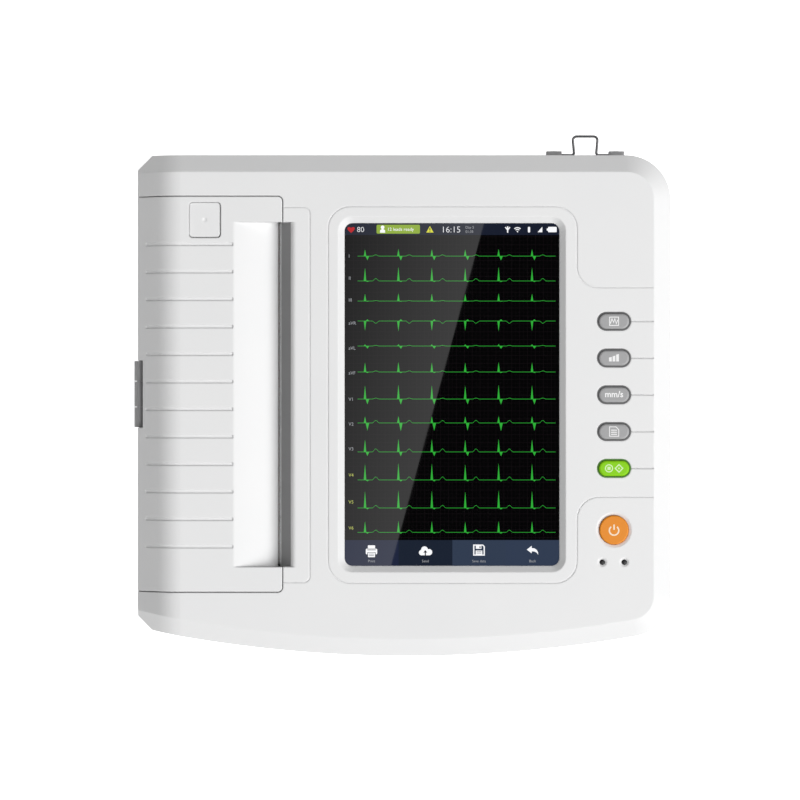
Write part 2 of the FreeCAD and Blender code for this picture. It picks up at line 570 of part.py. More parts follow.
def make_screws():
    add("housing_screws", Part.makeCompound(
        [screw(3.8, 3.2, 1.5, 52, vec(x, y, 12), AXIS_Z) for x, y, top in HOUSING_SCREWS]))
    small = [screw(2.3, 1.6, 1.0, 8, vec(x, y, BOARD_TOP - 1.6), AXIS_Z) for x, y in KEYPAD_SCREWS]
    small += [screw(2.3, 1.4, 1.0, 8, vec(x, -90, 4.4), AXIS_Z) for x in (BAY[0] + 4, BAY[1] - 4)]
    small += [screw(2.3, 1.2, 1.0, 8.0, vec(INLET_X + side * LUG_X, 154.6, 34), AXIS_Y * -1)
              for side in (-1, 1)]
    small += [screw(2.3, 1.6, 1.0, 7, vec(x, y, 15.6), AXIS_Z * -1) for x, y in board_posts()]
    add("panel_screws", Part.makeCompound(small))


# ---- hinge, button and latch --------------------------------------------------------------
def make_hinge():
    add("body_hinge_leaf", hinge_leaf("body"))
    add("cover_hinge_leaf", hinge_leaf("cover"))
    add("hinge_pin", rod_y(PIN_R, HINGE_X, HINGE_Z, -HINGE_HALF, HINGE_HALF))
    add("release_button", make_button())
    add("button_spring", coil_spring(4.2, 0.4, 3.2, 3, vec(BUTTON_X, BUTTON_Y, 77.75), AXIS_Z))
    add("latch_bar", make_latch())


# ---- display and keys ---------------------------------------------------------------------
def make_display():
    x0, x1, y0, y1 = SCREEN
    m = GLASS_MARGIN
    top = Z_TOP - BEVEL_DEEP - GLASS_LIP
    low = top - GLASS_THICK
    add("display_glass", slab(x0 - m, x1 + m, y0 - m, y1 + m, 4, low, top))
    add("lcd_panel", slab(x0 - m, x1 + m, y0 - m, y1 + m, 4, 74.2, low))
    plate = box(x0 - 6, x1 + 6, y0 + 20, y1 - 20, 72.6, 74.2)
    sides = [box(x0 - 6, x0 - 4.5, y0 + 20, y1 - 20, 72.6, 79.5),
             box(x1 + 4.5, x1 + 6, y0 + 20, y1 - 20, 72.6, 79.5)]
    window = slab(x0 + 15, x1 - 15, y0 + 40, y1 - 40, 6, 70, 76)
    add("display_bracket", join(plate, *sides).cut(window))
    add("display_cable", prism_xz([(60, 72.6), (60, 16), (60.4, 15.6), (62, 15.6), (62, 16),
                                   (60.4, 16), (60.4, 72.6)], 10, 50))


def make_key(y):
    cap = stadium(KEY_X, y, KEY_LONG, KEY_WIDE, 79.2, 86.0)
    cap = cap.makeFillet(1.5, [e for e in cap.Edges if e.BoundBox.ZMin > 85.9])
    flange = stadium(KEY_X, y, KEY_LONG + 1.4, KEY_WIDE + 1.4, 79.2, 80.4)
    return join(cap, flange, rod_z(2.0, KEY_X, y, 75.9, 80))


def make_keys():
    rings = []
    switches = []
    for name, y in KEYS:
        add(name, make_key(y))
        ring = stadium(KEY_X, y, KEY_LONG + 2 * KEY_RING, KEY_WIDE + 2 * KEY_RING, 80.5, 85.1)
        rings.append(ring.cut(stadium(KEY_X, y, KEY_LONG + 0.4, KEY_WIDE + 0.4, 80, 90)))
    add("key_surrounds", Part.makeCompound(rings))
    cap = rod_z(POWER_R, KEY_X, POWER_Y, 79.2, 85.8)
    cap = cap.makeFillet(0.9, [e for e in cap.Edges if e.BoundBox.ZMin > 85.7])
    flange = rod_z(POWER_R + 1.2, KEY_X, POWER_Y, 79.2, 80.6)
    add("power_button", join(cap, flange, rod_z(2.0, KEY_X, POWER_Y, 76.1, 80)))
    for y in [y for name, y in KEYS] + [POWER_Y]:
        body = box(KEY_X - 3, KEY_X + 3, y - 3, y + 3, BOARD_TOP, 74.2)
        switches.append(body.fuse(rod_z(1.7, KEY_X, y, 74.2, SWITCH_TOP)))
    add("key_switches", Part.makeCompound(switches))
    lenses = []
    for x in LED_X:
        dome = Part.makeSphere(3.0, vec(x, LED_Y, 84.2 - 3.0 + 0.45)).common(rod_z(LED_R, x, LED_Y, 80, 86))
        lenses.append(join(rod_z(LED_R, x, LED_Y, BOARD_TOP, 83.5), dome))
    add("led_lenses", Part.makeCompound(lenses))
    board = slab(116.5, 158, -113, 58, 2, BOARD_TOP - 1.6, BOARD_TOP)
    add("keypad_board", board.cut([rod_z(1.0, x, y, 60, 80) for x, y in KEYPAD_SCREWS]))


# ---- printer ------------------------------------------------------------------------------
def gear(teeth, x, z, phase, bore, y0, y1):
    """A module 1 involute gear about a line along Y. phase is a tooth's angle in degrees."""
    pitch, tip, root = teeth / 2, teeth / 2 + 0.95, teeth / 2 - 1.25
    base = pitch * math.cos(math.radians(20))
    start = max(base, root)

    def involute(radius):
        a = math.acos(min(1.0, base / radius))
        return math.tan(a) - a

    half_pitch = math.pi / (2 * teeth) - 0.06 / pitch       # half a tooth, less backlash

    def at(radius, angle):
        return vec(x + radius * math.cos(angle), y0, z + radius * math.sin(angle))

    edges = []
    for k in range(teeth):
        centre = math.radians(phase) + 2 * math.pi * k / teeth
        radii = [start + (tip - start) * n / 4 for n in range(5)]
        swing = [half_pitch + involute(pitch) - involute(r) for r in radii]
        rise = [at(r, centre - s) for r, s in zip(radii, swing)]
        fall = [at(r, centre + s) for r, s in zip(reversed(radii), reversed(swing))]
        foot_a, foot_b = at(root, centre - swing[0]), at(root, centre + swing[0])
        next_foot = centre + 2 * math.pi / teeth - swing[0]
        for points in (rise, fall):
            curve = Part.BSplineCurve()
            curve.interpolate(points)
            edges.append(curve.toShape())
        edges.append(arc(rise[-1], at(tip, centre), fall[0]))
        if start > root + 1e-6:
            edges.append(Part.makeLine(foot_a, rise[0]))
            edges.append(Part.makeLine(fall[-1], foot_b))
        edges.append(arc(foot_b, at(root, (centre + swing[0] + next_foot) / 2), at(root, next_foot)))
    face = Part.Face(Part.Wire(Part.__sortEdges__(edges)))
    return face.extrude(vec(0, y1 - y0, 0)).cut(rod_y(bore, x, z, y0 - 1, y1 + 1))


def bearing_angle(x0, z0, x1, z1):
    return math.degrees(math.atan2(z1 - z0, x1 - x0))


def make_gears():
    """Platen gear, idler and motor pinion, in mesh at rest."""
    first = bearing_angle(PLATEN_X, PLATEN_Z, IDLER_X, IDLER_Z)
    idler_phase = first + 180 + 180 / TEETH_IDLER
    second = bearing_angle(IDLER_X, IDLER_Z, PINION_X, PINION_Z)
    pitch_angle = 360 / TEETH_IDLER
    lead = (idler_phase - second) % pitch_angle              # tooth centre ahead of the line
    gap = second + 180 - lead * TEETH_IDLER / TEETH_PINION
    pinion_phase = gap + 180 / TEETH_PINION
    add("platen_gear", gear(TEETH_PLATEN, PLATEN_X, PLATEN_Z, first, SHAFT_R, GEAR_FRONT, GEAR_REAR))
    idler = gear(TEETH_IDLER, IDLER_X, IDLER_Z, idler_phase, 2.05, GEAR_FRONT, GEAR_REAR)
    add("idler_gear", idler)
    add("idler_axle", join(rod_y(2.0, IDLER_X, IDLER_Z, 113.2, 121.6),
                           rod_y(4.0, IDLER_X, IDLER_Z, 121.6, 122.8)))
    add("motor_pinion", gear(TEETH_PINION, PINION_X, PINION_Z, pinion_phase, 2.5, GEAR_FRONT, GEAR_REAR))
    add("motor_shaft", rod_y(2.5, PINION_X, PINION_Z, 101, GEAR_REAR))


def paper_web():
    """The sheet from the roll, round the platen and up to the slot."""
    grip = PLATEN_R + 0.3
    dx, dz = PLATEN_X - ROLL_X, PLATEN_Z - ROLL_Z
    roll = ROLL_R + 0.3
    rise = math.atan2(dz, dx) + math.asin((roll - grip) / math.hypot(dx, dz))
    nx, nz = math.sin(rise), -math.cos(rise)
    y = -PAPER_HALF
    sides = []
    for extra in (0.0, 0.2):
        start = vec(ROLL_X + nx * (roll + extra), y, ROLL_Z + nz * (roll + extra))
        touch = vec(PLATEN_X + nx * (grip + extra), y, PLATEN_Z + nz * (grip + extra))
        bend = (rise - math.pi / 2) / 2
        middle = vec(PLATEN_X + math.cos(bend) * (grip + extra), y,
                     PLATEN_Z + math.sin(bend) * (grip + extra))
        side = vec(PLATEN_X + grip + extra, y, PLATEN_Z)
        top = vec(PLATEN_X + grip + extra, y, 68.5)
        sides.append((start, touch, middle, side, top))
    a, b = sides
    edges = [Part.makeLine(a[0], a[1]), arc(a[1], a[2], a[3]), Part.makeLine(a[3], a[4]),
             Part.makeLine(a[4], b[4]), Part.makeLine(b[4], b[3]), arc(b[3], b[2], b[1]),
             Part.makeLine(b[1], b[0]), Part.makeLine(b[0], a[0])]
    return Part.Face(Part.Wire(edges)).extrude(vec(0, 2 * PAPER_HALF, 0))


def make_platen():
    rubber = rod_y(PLATEN_R, PLATEN_X, PLATEN_Z, -108, 108)
    add("platen_roller", rubber.cut(rod_y(SHAFT_R, PLATEN_X, PLATEN_Z, -110, 110)))
    add("platen_shaft", rod_y(SHAFT_R, PLATEN_X, PLATEN_Z, -112.4, 122))
    bushes = []
    for a, b in ((-112.4, VALLEY_FRONT), (VALLEY_REAR + 0.4, 112.4)):
        bushes.append(rod_y(5.0, PLATEN_X, PLATEN_Z, a, b).cut(rod_y(SHAFT_R + 0.05, PLATEN_X, PLATEN_Z, a, b)))
    add("platen_bearings", Part.makeCompound(bushes))


def make_printer():
    plates = []
    for a, b in ((-114.7, -113.2), (113.2, 114.7)):
        side = prism_xz([(-92, 5.6), (-48, 5.6), (-48, 72), (-62, 72), (-66, 66), (-77, 66),
                         (-77, 52), (-92, 52)], a, b)
        plates.append(side)
    beam = box(-60, -58, -113.2, 113.2, 54, 70)
    tie = box(-56, -50, -113.2, 113.2, 5.6, 7.1)
    frame = join(beam, tie, *plates)
    frame = frame.cut([rod_y(2.0, IDLER_X, IDLER_Z, 110, 118), rod_y(8.0, PINION_X, PINION_Z, 110, 118),
                       box(-79.5, -76, -120, 120, 53, 73)])
    add("printer_frame", frame)
    ceramic = box(-77.6, -76.6, -108, 108, 58, 66.5)
    sink = box(-76.6, -72, -108, 108, 56, 68)
    fins = [box(-72, -66, -108, 108, 56.0 + 3 * k, 57.4 + 3 * k) for k in range(4)]
    ears = [box(-76, -66, a, b, 60, 64) for a, b in ((-113.2, -108), (108, 113.2))]
    add("print_head", join(ceramic, sink, *(fins + ears)))
    springs = [coil_spring(2.6, 0.45, 6.0, 4, vec(-66.0, y, 63.0), AXIS_X) for y in (-70, 0, 70)]
    add("head_springs", Part.makeCompound(springs))
    add("head_cable", prism_xz([(-70, 56), (-70, 30), (-52.2, 16), (-43, 15.9), (-43, 15.6),
                                (-52.6, 15.6), (-70.4, 29.8), (-70.4, 56)], -15, 25))
    motor = slab(PINION_X - 14, PINION_X + 14, PINION_Z - 14, PINION_Z + 14, 4, 0, 30)
    motor.Placement = FreeCAD.Placement(vec(0, 113.2, 0), FreeCAD.Rotation(AXIS_X, 90))
    add("stepper_motor", motor.cut(rod_y(2.6, PINION_X, PINION_Z, 100, 120)))


def make_paper():
    roll = rod_y(ROLL_R, ROLL_X, ROLL_Z, -PAPER_HALF, PAPER_HALF)
    add("paper_roll", roll.cut(rod_y(CORE_R + 2, ROLL_X, ROLL_Z, -110, 110)))
    core = rod_y(CORE_R + 2, ROLL_X, ROLL_Z, -PAPER_HALF, PAPER_HALF)
    add("roll_core", core.cut(rod_y(CORE_R, ROLL_X, ROLL_Z, -110, 110)))
    spindle = [rod_y(CORE_R, ROLL_X, ROLL_Z, -PAPER_HALF, PAPER_HALF),
               rod_y(4.0, ROLL_X, ROLL_Z, -117, 117)]
    for side in (-1, 1):
        spindle.append(rod_y(12.0, ROLL_X, ROLL_Z, *sorted((side * PAPER_HALF, side * 110.4))))
    add("roll_spindle", join(*spindle))
    add("paper_web", paper_web())
    tray = [box(-160, -96, -116.5, 116.5, 10, 12), box(-160, -158, -116.5, 116.5, 10, 46),
            box(-98, -96, -116.5, 116.5, 10, 30)]
    wall = [(-160, 10), (-96, 10), (-96, 45), (-105.3, 50), (-105.3, 61), (-118, 61),
            (-118, 58), (-138, 58), (-160, 46)]
    for a, b in ((-116.5, -114.5), (114.5, 116.5)):
        tray.append(prism_xz(wall, a, b))
    for a, b in ((-119.5, -116.5), (116.5, 119.5)):
        tray.append(box(-109, -105.3, a, b, 58, 61))
    for x in (-150, -106):
        for y in (-80, 80):
            tray.append(rod_z(4, x, y, 5.6, 10.5))
    tray = join(*tray)
    rest = join(rod_y(4.2, ROLL_X, ROLL_Z, -120, 120), box(ROLL_X - 4.2, ROLL_X + 4.2, -120, 120, ROLL_Z, 70))
    add("paper_tray", tray.cut(rest))


# ---- electronics --------------------------------------------------------------------------
def make_electronics():
    x0, x1, y0, y1 = BOARD
    board = slab(x0, x1, y0, y1, 3, 14, 15.6)
    add("main_board", board.cut([rod_z(1.0, x, y, 10, 20) for x, y in board_posts()]))
    chips = [slab(x, x + a, y, y + a, 0.4, 15.6, 15.6 + h) for x, y, a, h in
             ((-10, 40, 24, 2.2), (24, 44, 14, 1.6), (24, 66, 14, 1.6), (-36, 90, 18, 2.0), (56, 90, 20, 4.0))]
    chips += [rod_z(3.2, -36 + 9 * k, 8, 15.6, 27) for k in range(5)]
    chips += [box(20 + 18 * k, 34 + 18 * k, -14, -8, 15.6, 21) for k in range(3)]
    chips += [box(66, 82, 26, 74, 15.6, 16.2), box(-4, 20, 74, 98, 15.6, 18.6)]
    add("board_components", Part.makeCompound(chips))
    case = box(98, 150, -30, 112, 5.6, 44).cut(box(99.2, 148.8, -28.8, 110.8, 6.8, 42.8))
    case = case.cut([box(104, 144, -20 + 10 * k, -15 + 10 * k, 42, 46) for k in range(12)])
    add("power_supply", case)
    basket = join(rod_z(18, SPEAKER_X, SPEAKER_Y, 5.6, 8.6),
                  Part.makeCone(16, 9, 6, vec(SPEAKER_X, SPEAKER_Y, 8.6)),
                  rod_z(11, SPEAKER_X, SPEAKER_Y, 14.6, 21))
    add("speaker", basket.cut(Part.makeCone(15, 5, 6, vec(SPEAKER_X, SPEAKER_Y, 5.6))))


def make_connectors():
    x, z = INLET_X, INLET_Z
    body = join(box(x - 15, x + 15, 140.4, 142.4, z - 11.5, z + 11.5),
                box(x - 13.5, x + 13.5, 122, 141, z - 9.75, z + 9.75))
    add("mains_inlet", body.cut(box(x - 12.3, x + 12.3, 126.4, 145, z - 8.4, z + 8.4)))
    pins = [box(x + dx - 1, x + dx + 1, 118, 140, z + dz - 2, z + dz + 2)
            for dx, dz in ((-7, -2), (7, -2), (0, 2))]
    add("inlet_pins", Part.makeCompound(pins))
    PARTS["mains_inlet"] = PARTS["mains_inlet"].cut(pins)
    usb = box(5, 18, 133, 150.5, 16, 23).cut(box(5.4, 17.6, 135, 152, 16.4, 22.6))
    add("usb_socket", usb.cut(box(0, 20, 130, 136, 10, 15.9)))
    jack = box(27.5, 43.5, 132, 150.5, 15.9, 29.2)
    add("network_socket", jack.cut(box(29.6, 41.4, 136, 152, 18.0, 26.6)))
    stud = join(rod_y(3.0, GROUND_X, GROUND_Z, 128, 149.4), rod_y(4.5, GROUND_X, GROUND_Z, 139.4, 141.0))
    nut = hexagon_y(5.5, GROUND_X, GROUND_Z, 133, 137.4)
    add("ground_stud", Part.makeCompound([stud, nut.cut(rod_y(3.0, GROUND_X, GROUND_Z, 130, 140))]))
    flange = box(162, 163, PORT_Y - 19.6, PORT_Y + 19.6, PORT_Z - 6.2, PORT_Z + 6.2)
    rear = box(152, 162, PORT_Y - 12.8, PORT_Y + 12.8, PORT_Z - 4.8, PORT_Z + 4.8)
    face = [vec(163, PORT_Y + dy, PORT_Z + dz) for dy, dz in ((-12.4, 4.1), (12.4, 4.1), (11.0, -4.1), (-11.0, -4.1))]
    shell = Part.Face(loop(face)).extrude(vec(3.5, 0, 0))
    holes = [rod(0.6, vec(164, PORT_Y - 9.6 + 2.75 * k, PORT_Z + 1.4), AXIS_X, 5) for k in range(8)]
    holes += [rod(0.6, vec(164, PORT_Y - 8.2 + 2.75 * k, PORT_Z - 1.4), AXIS_X, 5) for k in range(7)]
    posts = []
    for side in (-1, 1):
        centre = vec(163, PORT_Y + side * 16.65, PORT_Z)
        post = Part.Face(loop([centre + vec(0, 2.6 * math.cos(math.radians(60 * k)),
                                            2.6 * math.sin(math.radians(60 * k))) for k in range(6)]))
        posts.append(post.extrude(vec(3.5, 0, 0)).cut(rod(1.2, centre + vec(1, 0, 0), AXIS_X, 4)))
    socket = join(flange, rear, shell).cut(holes)
    add("patient_connector", Part.makeCompound([socket] + posts))


def hexagon_y(radius, x, z, y0, y1):
    corners = [(x + radius * math.cos(math.radians(60 * k)), z + radius * math.sin(math.radians(60 * k)))
               for k in range(6)]
    return prism_xz(corners, y0, y1)


def make_bail():
    """The wire loop that holds the mains plug, and the two lugs it turns in."""
    lugs = []
    for side in (-1, 1):
        x = INLET_X + side * LUG_X
        lug = slab(x - 4.9, x + 4.9, 29, 46, 1.5, 0, 4.7)
        lug.Placement = FreeCAD.Placement(vec(0, 155.2, 0), FreeCAD.Rotation(AXIS_X, 90))
        lug = lug.cut([rod(0.85, vec(x - 6, BAIL_Y, BAIL_Z), AXIS_X, 12),
                       rod(1.0, vec(x, 150, 34), AXIS_Y, 8), rod(2.4, vec(x, 154.6, 34), AXIS_Y, 2)])
        lugs.append(lug)
    add("retainer_lugs", Part.makeCompound(lugs))
    points = [(-LUG_X - 3, 0), (-BAIL_NECK, 0), (-BAIL_TOP, BAIL_REACH), (BAIL_TOP, BAIL_REACH),
              (BAIL_NECK, 0), (LUG_X + 3, 0)]
    route = round_path([vec(INLET_X + dx, BAIL_Y + dy, BAIL_Z) for dx, dy in points], (1.6, 2.5, 2.5, 1.6))
    add("cord_retainer", wire_tube(route, BAIL_WIRE))


def main():
    os.makedirs("parts", exist_ok=True)
    make_housing()
    make_screws()
    make_hinge()
    make_display()
    make_keys()
    make_gears()
    make_platen()
    make_printer()
    make_paper()
    make_electronics()
    make_connectors()
    make_bail()
    for name, shape in PARTS.items():
        shape.exportStep("parts/%s.step" % name)
        state = "" if shape.isValid() else "  INVALID"
        print("%-20s solids %2d  volume %10.1f mm3%s" % (name, len(shape.Solids), shape.Volume, state))
    bounds = Part.makeCompound(list(PARTS.values())).BoundBox
    print("%d sub-parts, box %s" % (len(PARTS), bounds))


main()
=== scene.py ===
"""The looks of a twelve-lead ECG recorder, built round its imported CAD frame.

Plane shapes are written in millimetres in the frame's own X and Y; MM turns them into metres.
"""

import json
import math

import bmesh
import bpy
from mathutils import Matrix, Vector


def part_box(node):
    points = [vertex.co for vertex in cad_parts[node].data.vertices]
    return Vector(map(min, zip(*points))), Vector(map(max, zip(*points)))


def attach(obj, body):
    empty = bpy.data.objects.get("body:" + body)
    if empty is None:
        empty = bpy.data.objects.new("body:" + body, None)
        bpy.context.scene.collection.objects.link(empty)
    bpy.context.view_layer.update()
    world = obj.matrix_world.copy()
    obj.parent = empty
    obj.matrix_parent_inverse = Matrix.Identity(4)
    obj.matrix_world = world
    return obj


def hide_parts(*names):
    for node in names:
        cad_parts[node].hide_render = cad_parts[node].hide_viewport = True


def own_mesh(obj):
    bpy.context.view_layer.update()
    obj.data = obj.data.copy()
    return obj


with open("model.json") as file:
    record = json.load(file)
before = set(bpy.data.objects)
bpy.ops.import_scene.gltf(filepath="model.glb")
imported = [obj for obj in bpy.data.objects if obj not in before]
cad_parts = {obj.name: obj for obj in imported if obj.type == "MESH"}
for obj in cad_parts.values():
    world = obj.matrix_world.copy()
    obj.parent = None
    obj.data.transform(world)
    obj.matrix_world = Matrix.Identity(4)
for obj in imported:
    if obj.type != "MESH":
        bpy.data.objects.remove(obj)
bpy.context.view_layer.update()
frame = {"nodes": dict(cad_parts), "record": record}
nodes = frame["nodes"]

MM = 0.001
WHITE = (0.80, 0.80, 0.80)
PLASTIC_IOR = 1.5
# The second colour is painted light: green bounced from the green key onto the dark trim in front
# of it.
DARK_RING, PAINTED_GREEN_BOUNCE = (0.13, 0.13, 0.133), (0.06, 0.19, 0.012)
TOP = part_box("key_surrounds")[1].z / MM - 0.1      # the housing's flat top
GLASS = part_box("display_glass")[1].z / MM          # top of the display glass
SCREEN_LEFT, SCREEN_RIGHT = -36.1, 99.5            # visible part of the glass
SCREEN_FRONT, SCREEN_REAR = -108.5, 107.9
SCREEN_ROUND = 5.0


# ---- node helpers -------------------------------------------------------------------------
def noise(tree, size, detail=3.0, stretch=(1, 1, 1)):
    """A noise field fixed to the piece, with features about size millimetres across."""
    coords = tree.nodes.new("ShaderNodeTexCoord")
    mapping = tree.nodes.new("ShaderNodeMapping")
    mapping.inputs["Scale"].default_value = [k / (size * MM) for k in stretch]
    field = tree.nodes.new("ShaderNodeTexNoise")
    field.inputs["Scale"].default_value = 1.0
    field.inputs["Detail"].default_value = detail
    tree.links.new(coords.outputs["Object"], mapping.inputs["Vector"])
    tree.links.new(mapping.outputs["Vector"], field.inputs["Vector"])
    return field.outputs["Fac"]


def spread(tree, value, low, high):
    """A noise field's usual range, brought to low..high."""
    node = tree.nodes.new("ShaderNodeMapRange")
    node.inputs["From Min"].default_value = 0.3
    node.inputs["From Max"].default_value = 0.7
    node.inputs["To Min"].default_value = low
    node.inputs["To Max"].default_value = high
    tree.links.new(value, node.inputs["Value"])
    return node.outputs["Result"]


def mix(tree, share, first, second):
    """Colour first where share is 0, second where it is 1. Either may be another node's output."""
    node = tree.nodes.new("ShaderNodeMix")
    node.data_type = "RGBA"
    tree.links.new(share, node.inputs["Factor"])
    for colour, socket in ((first, node.inputs[6]), (second, node.inputs[7])):
        if isinstance(colour, tuple):
            socket.default_value = (*colour, 1.0)
        else:
            tree.links.new(colour, socket)
    return node.outputs[2]


def maths(tree, operation, first, second=None):
    node = tree.nodes.new("ShaderNodeMath")
    node.operation = operation
    for value, socket in ((first, node.inputs[0]), (second, node.inputs[1])):
        if value is None:
            continue
        if isinstance(value, (int, float)):
            socket.default_value = value
        else:
            tree.links.new(value, socket)
    return node.outputs[0]


def axes(tree):
    """The piece's own X, Y and Z, in metres."""
    coords = tree.nodes.new("ShaderNodeTexCoord")
    split = tree.nodes.new("ShaderNodeSeparateXYZ")
    tree.links.new(coords.outputs["Object"], split.inputs[0])
    return split.outputs


def lines(tree, value, pitch, width):
    """1 on lines of that width and pitch, in millimetres, along value."""
    folded = maths(tree, "PINGPONG", value, pitch * MM / 2)
    return maths(tree, "LESS_THAN", folded, width * MM / 2)


def bump(tree, shader, height, depth, strength=1.0, edge=0.0):
    """A raised texture, over edges that look rounded to the radius edge."""
    node = tree.nodes.new("ShaderNodeBump")
    node.inputs["Strength"].default_value = strength
    node.inputs["Distance"].default_value = depth * MM
    tree.links.new(height, node.inputs["Height"])
    tree.links.new(node.outputs["Normal"], shader.inputs["Normal"])
    if edge:
        rounded = tree.nodes.new("ShaderNodeBevel")
        rounded.samples = 6
        rounded.inputs["Radius"].default_value = edge * MM
        tree.links.new(rounded.outputs["Normal"], node.inputs["Normal"])


# ---- finishes -----------------------------------------------------------------------------
def finish(name, colour, roughness, metallic=0.0, grain=None, rough=None, tone=None,
           stretch=(1, 1, 1), sheen=0.0, glow=None, edge=0.0, gloss=None):
    """A finish on one Principled shader.

    grain = (size, depth) is a moulded or ground texture, rough = (size, spread) an uneven gloss,
    tone = (size, other colour) a drift in colour, all in millimetres. glow is a lit colour, edge
    the radius that sharp edges seem to have, and gloss the specular level where it isn't usual.
    """
    made = bpy.data.materials.new(name)
    made.use_nodes = True
    tree = made.node_tree
    shader = tree.nodes["Principled BSDF"]
    shader.inputs["Base Color"].default_value = (*colour, 1.0)
    shader.inputs["Roughness"].default_value = roughness
    shader.inputs["Metallic"].default_value = metallic
    shader.inputs["IOR"].default_value = PLASTIC_IOR
    shader.inputs["Sheen Weight"].default_value = sheen
    if gloss is not None:
        shader.inputs["Specular IOR Level"].default_value = gloss
    if glow:
        shader.inputs["Emission Color"].default_value = (*glow, 1.0)
        shader.inputs["Emission Strength"].default_value = 1.0
    if rough:
        field = noise(tree, rough[0], stretch=stretch)
        value = spread(tree, field, roughness - rough[1], roughness + rough[1])
        tree.links.new(value, shader.inputs["Roughness"])
    if tone:
        field = noise(tree, tone[0], detail=4.0)
        tree.links.new(mix(tree, spread(tree, field, 0, 1), colour, tone[1]),
                       shader.inputs["Base Color"])
    if grain:
        bump(tree, shader, noise(tree, grain[0], detail=2.0, stretch=stretch), grain[1], edge=edge)
    made.diffuse_color = (*colour, 1.0)
    return made


def shader_of(made):
    return made.node_tree, made.node_tree.nodes["Principled BSDF"]


def paper_finish(name, around=None):
    """Chart paper with a millimetre grid. around = (x, z, radius) wraps the grid round a roll."""
    made = finish(name, (0.86, 0.85, 0.82), 0.72)
    tree, shader = shader_of(made)
    x, y, z = axes(tree)
    if around:
        cx, cz, radius = around
        angle = maths(tree, "ARCTAN2", maths(tree, "SUBTRACT", z, cz * MM),
                      maths(tree, "SUBTRACT", x, cx * MM))
        along = maths(tree, "MULTIPLY", angle, radius * MM)
    else:
        along = maths(tree, "SUBTRACT", x, z)
    fine = maths(tree, "MAXIMUM", lines(tree, y, 1.0, 0.10), lines(tree, along, 1.0, 0.10))
    bold = maths(tree, "MAXIMUM", lines(tree, y, 5.0, 0.26), lines(tree, along, 5.0, 0.26))
    paper = mix(tree, spread(tree, noise(tree, 3.0), 0, 1), (0.87, 0.86, 0.83), (0.84, 0.83, 0.79))
    printed = mix(tree, fine, paper, (0.86, 0.60, 0.57))
    printed = mix(tree, bold, printed, (0.80, 0.36, 0.34))
    tree.links.new(printed, shader.inputs["Base Color"])
    bump(tree, shader, noise(tree, 0.15, detail=4.0), 0.01)
    return made


def board_finish(name):
    """Solder resist over copper tracks, with the tracks standing a little proud."""
    made = finish(name, (0.010, 0.090, 0.045), 0.34)
    tree, shader = shader_of(made)
    x, y, z = axes(tree)
    wander = maths(tree, "MULTIPLY", noise(tree, 14.0, detail=0.0), 0.006)
    across = lines(tree, maths(tree, "ADD", x, wander), 1.8, 0.5)
    along = lines(tree, maths(tree, "ADD", y, wander), 2.3, 0.5)
    blocks = maths(tree, "GREATER_THAN", noise(tree, 11.0, detail=0.0), 0.5)
    other = maths(tree, "SUBTRACT", 1.0, blocks)
    tracks = maths(tree, "MAXIMUM", maths(tree, "MULTIPLY", across, blocks),
                   maths(tree, "MULTIPLY", along, other))
    tree.links.new(mix(tree, tracks, (0.008, 0.075, 0.038), (0.020, 0.150, 0.070)),
                   shader.inputs["Base Color"])
    bump(tree, shader, tracks, 0.03)
    return made


def ring_finish(name, border):
    """Dark trim, with painted light in front of border: a green glow bounced from the green key."""
    made = finish(name, DARK_RING, 0.5, rough=(1, 0.06), grain=(0.4, 0.01))
    tree, shader = shader_of(made)
    # In front of border the trim gets painted green bounce light from the key, not a colour of its
    # own.
    painted_bounce_side = maths(tree, "LESS_THAN", axes(tree)[1], border * MM)
    ring_tone = mix(tree, spread(tree, noise(tree, 2.0), 0, 1), DARK_RING, (0.115, 0.115, 0.118))
    tree.links.new(mix(tree, painted_bounce_side, ring_tone, PAINTED_GREEN_BOUNCE), shader.inputs["Base Color"])
    return made


def wrap_finish(name):
    """Heat-shrink sleeve with a plain printed band."""
    made = finish(name, (0.018, 0.035, 0.10), 0.38, rough=(6, 0.06))
    tree, shader = shader_of(made)
    x, y, z = axes(tree)
    band = lines(tree, maths(tree, "SUBTRACT", y, -0.120), 80.0, 7.0)
    tree.links.new(mix(tree, band, (0.018, 0.035, 0.10), (0.62, 0.64, 0.66)),
                   shader.inputs["Base Color"])
    bump(tree, shader, noise(tree, 8.0, detail=3.0), 0.15)
    return made


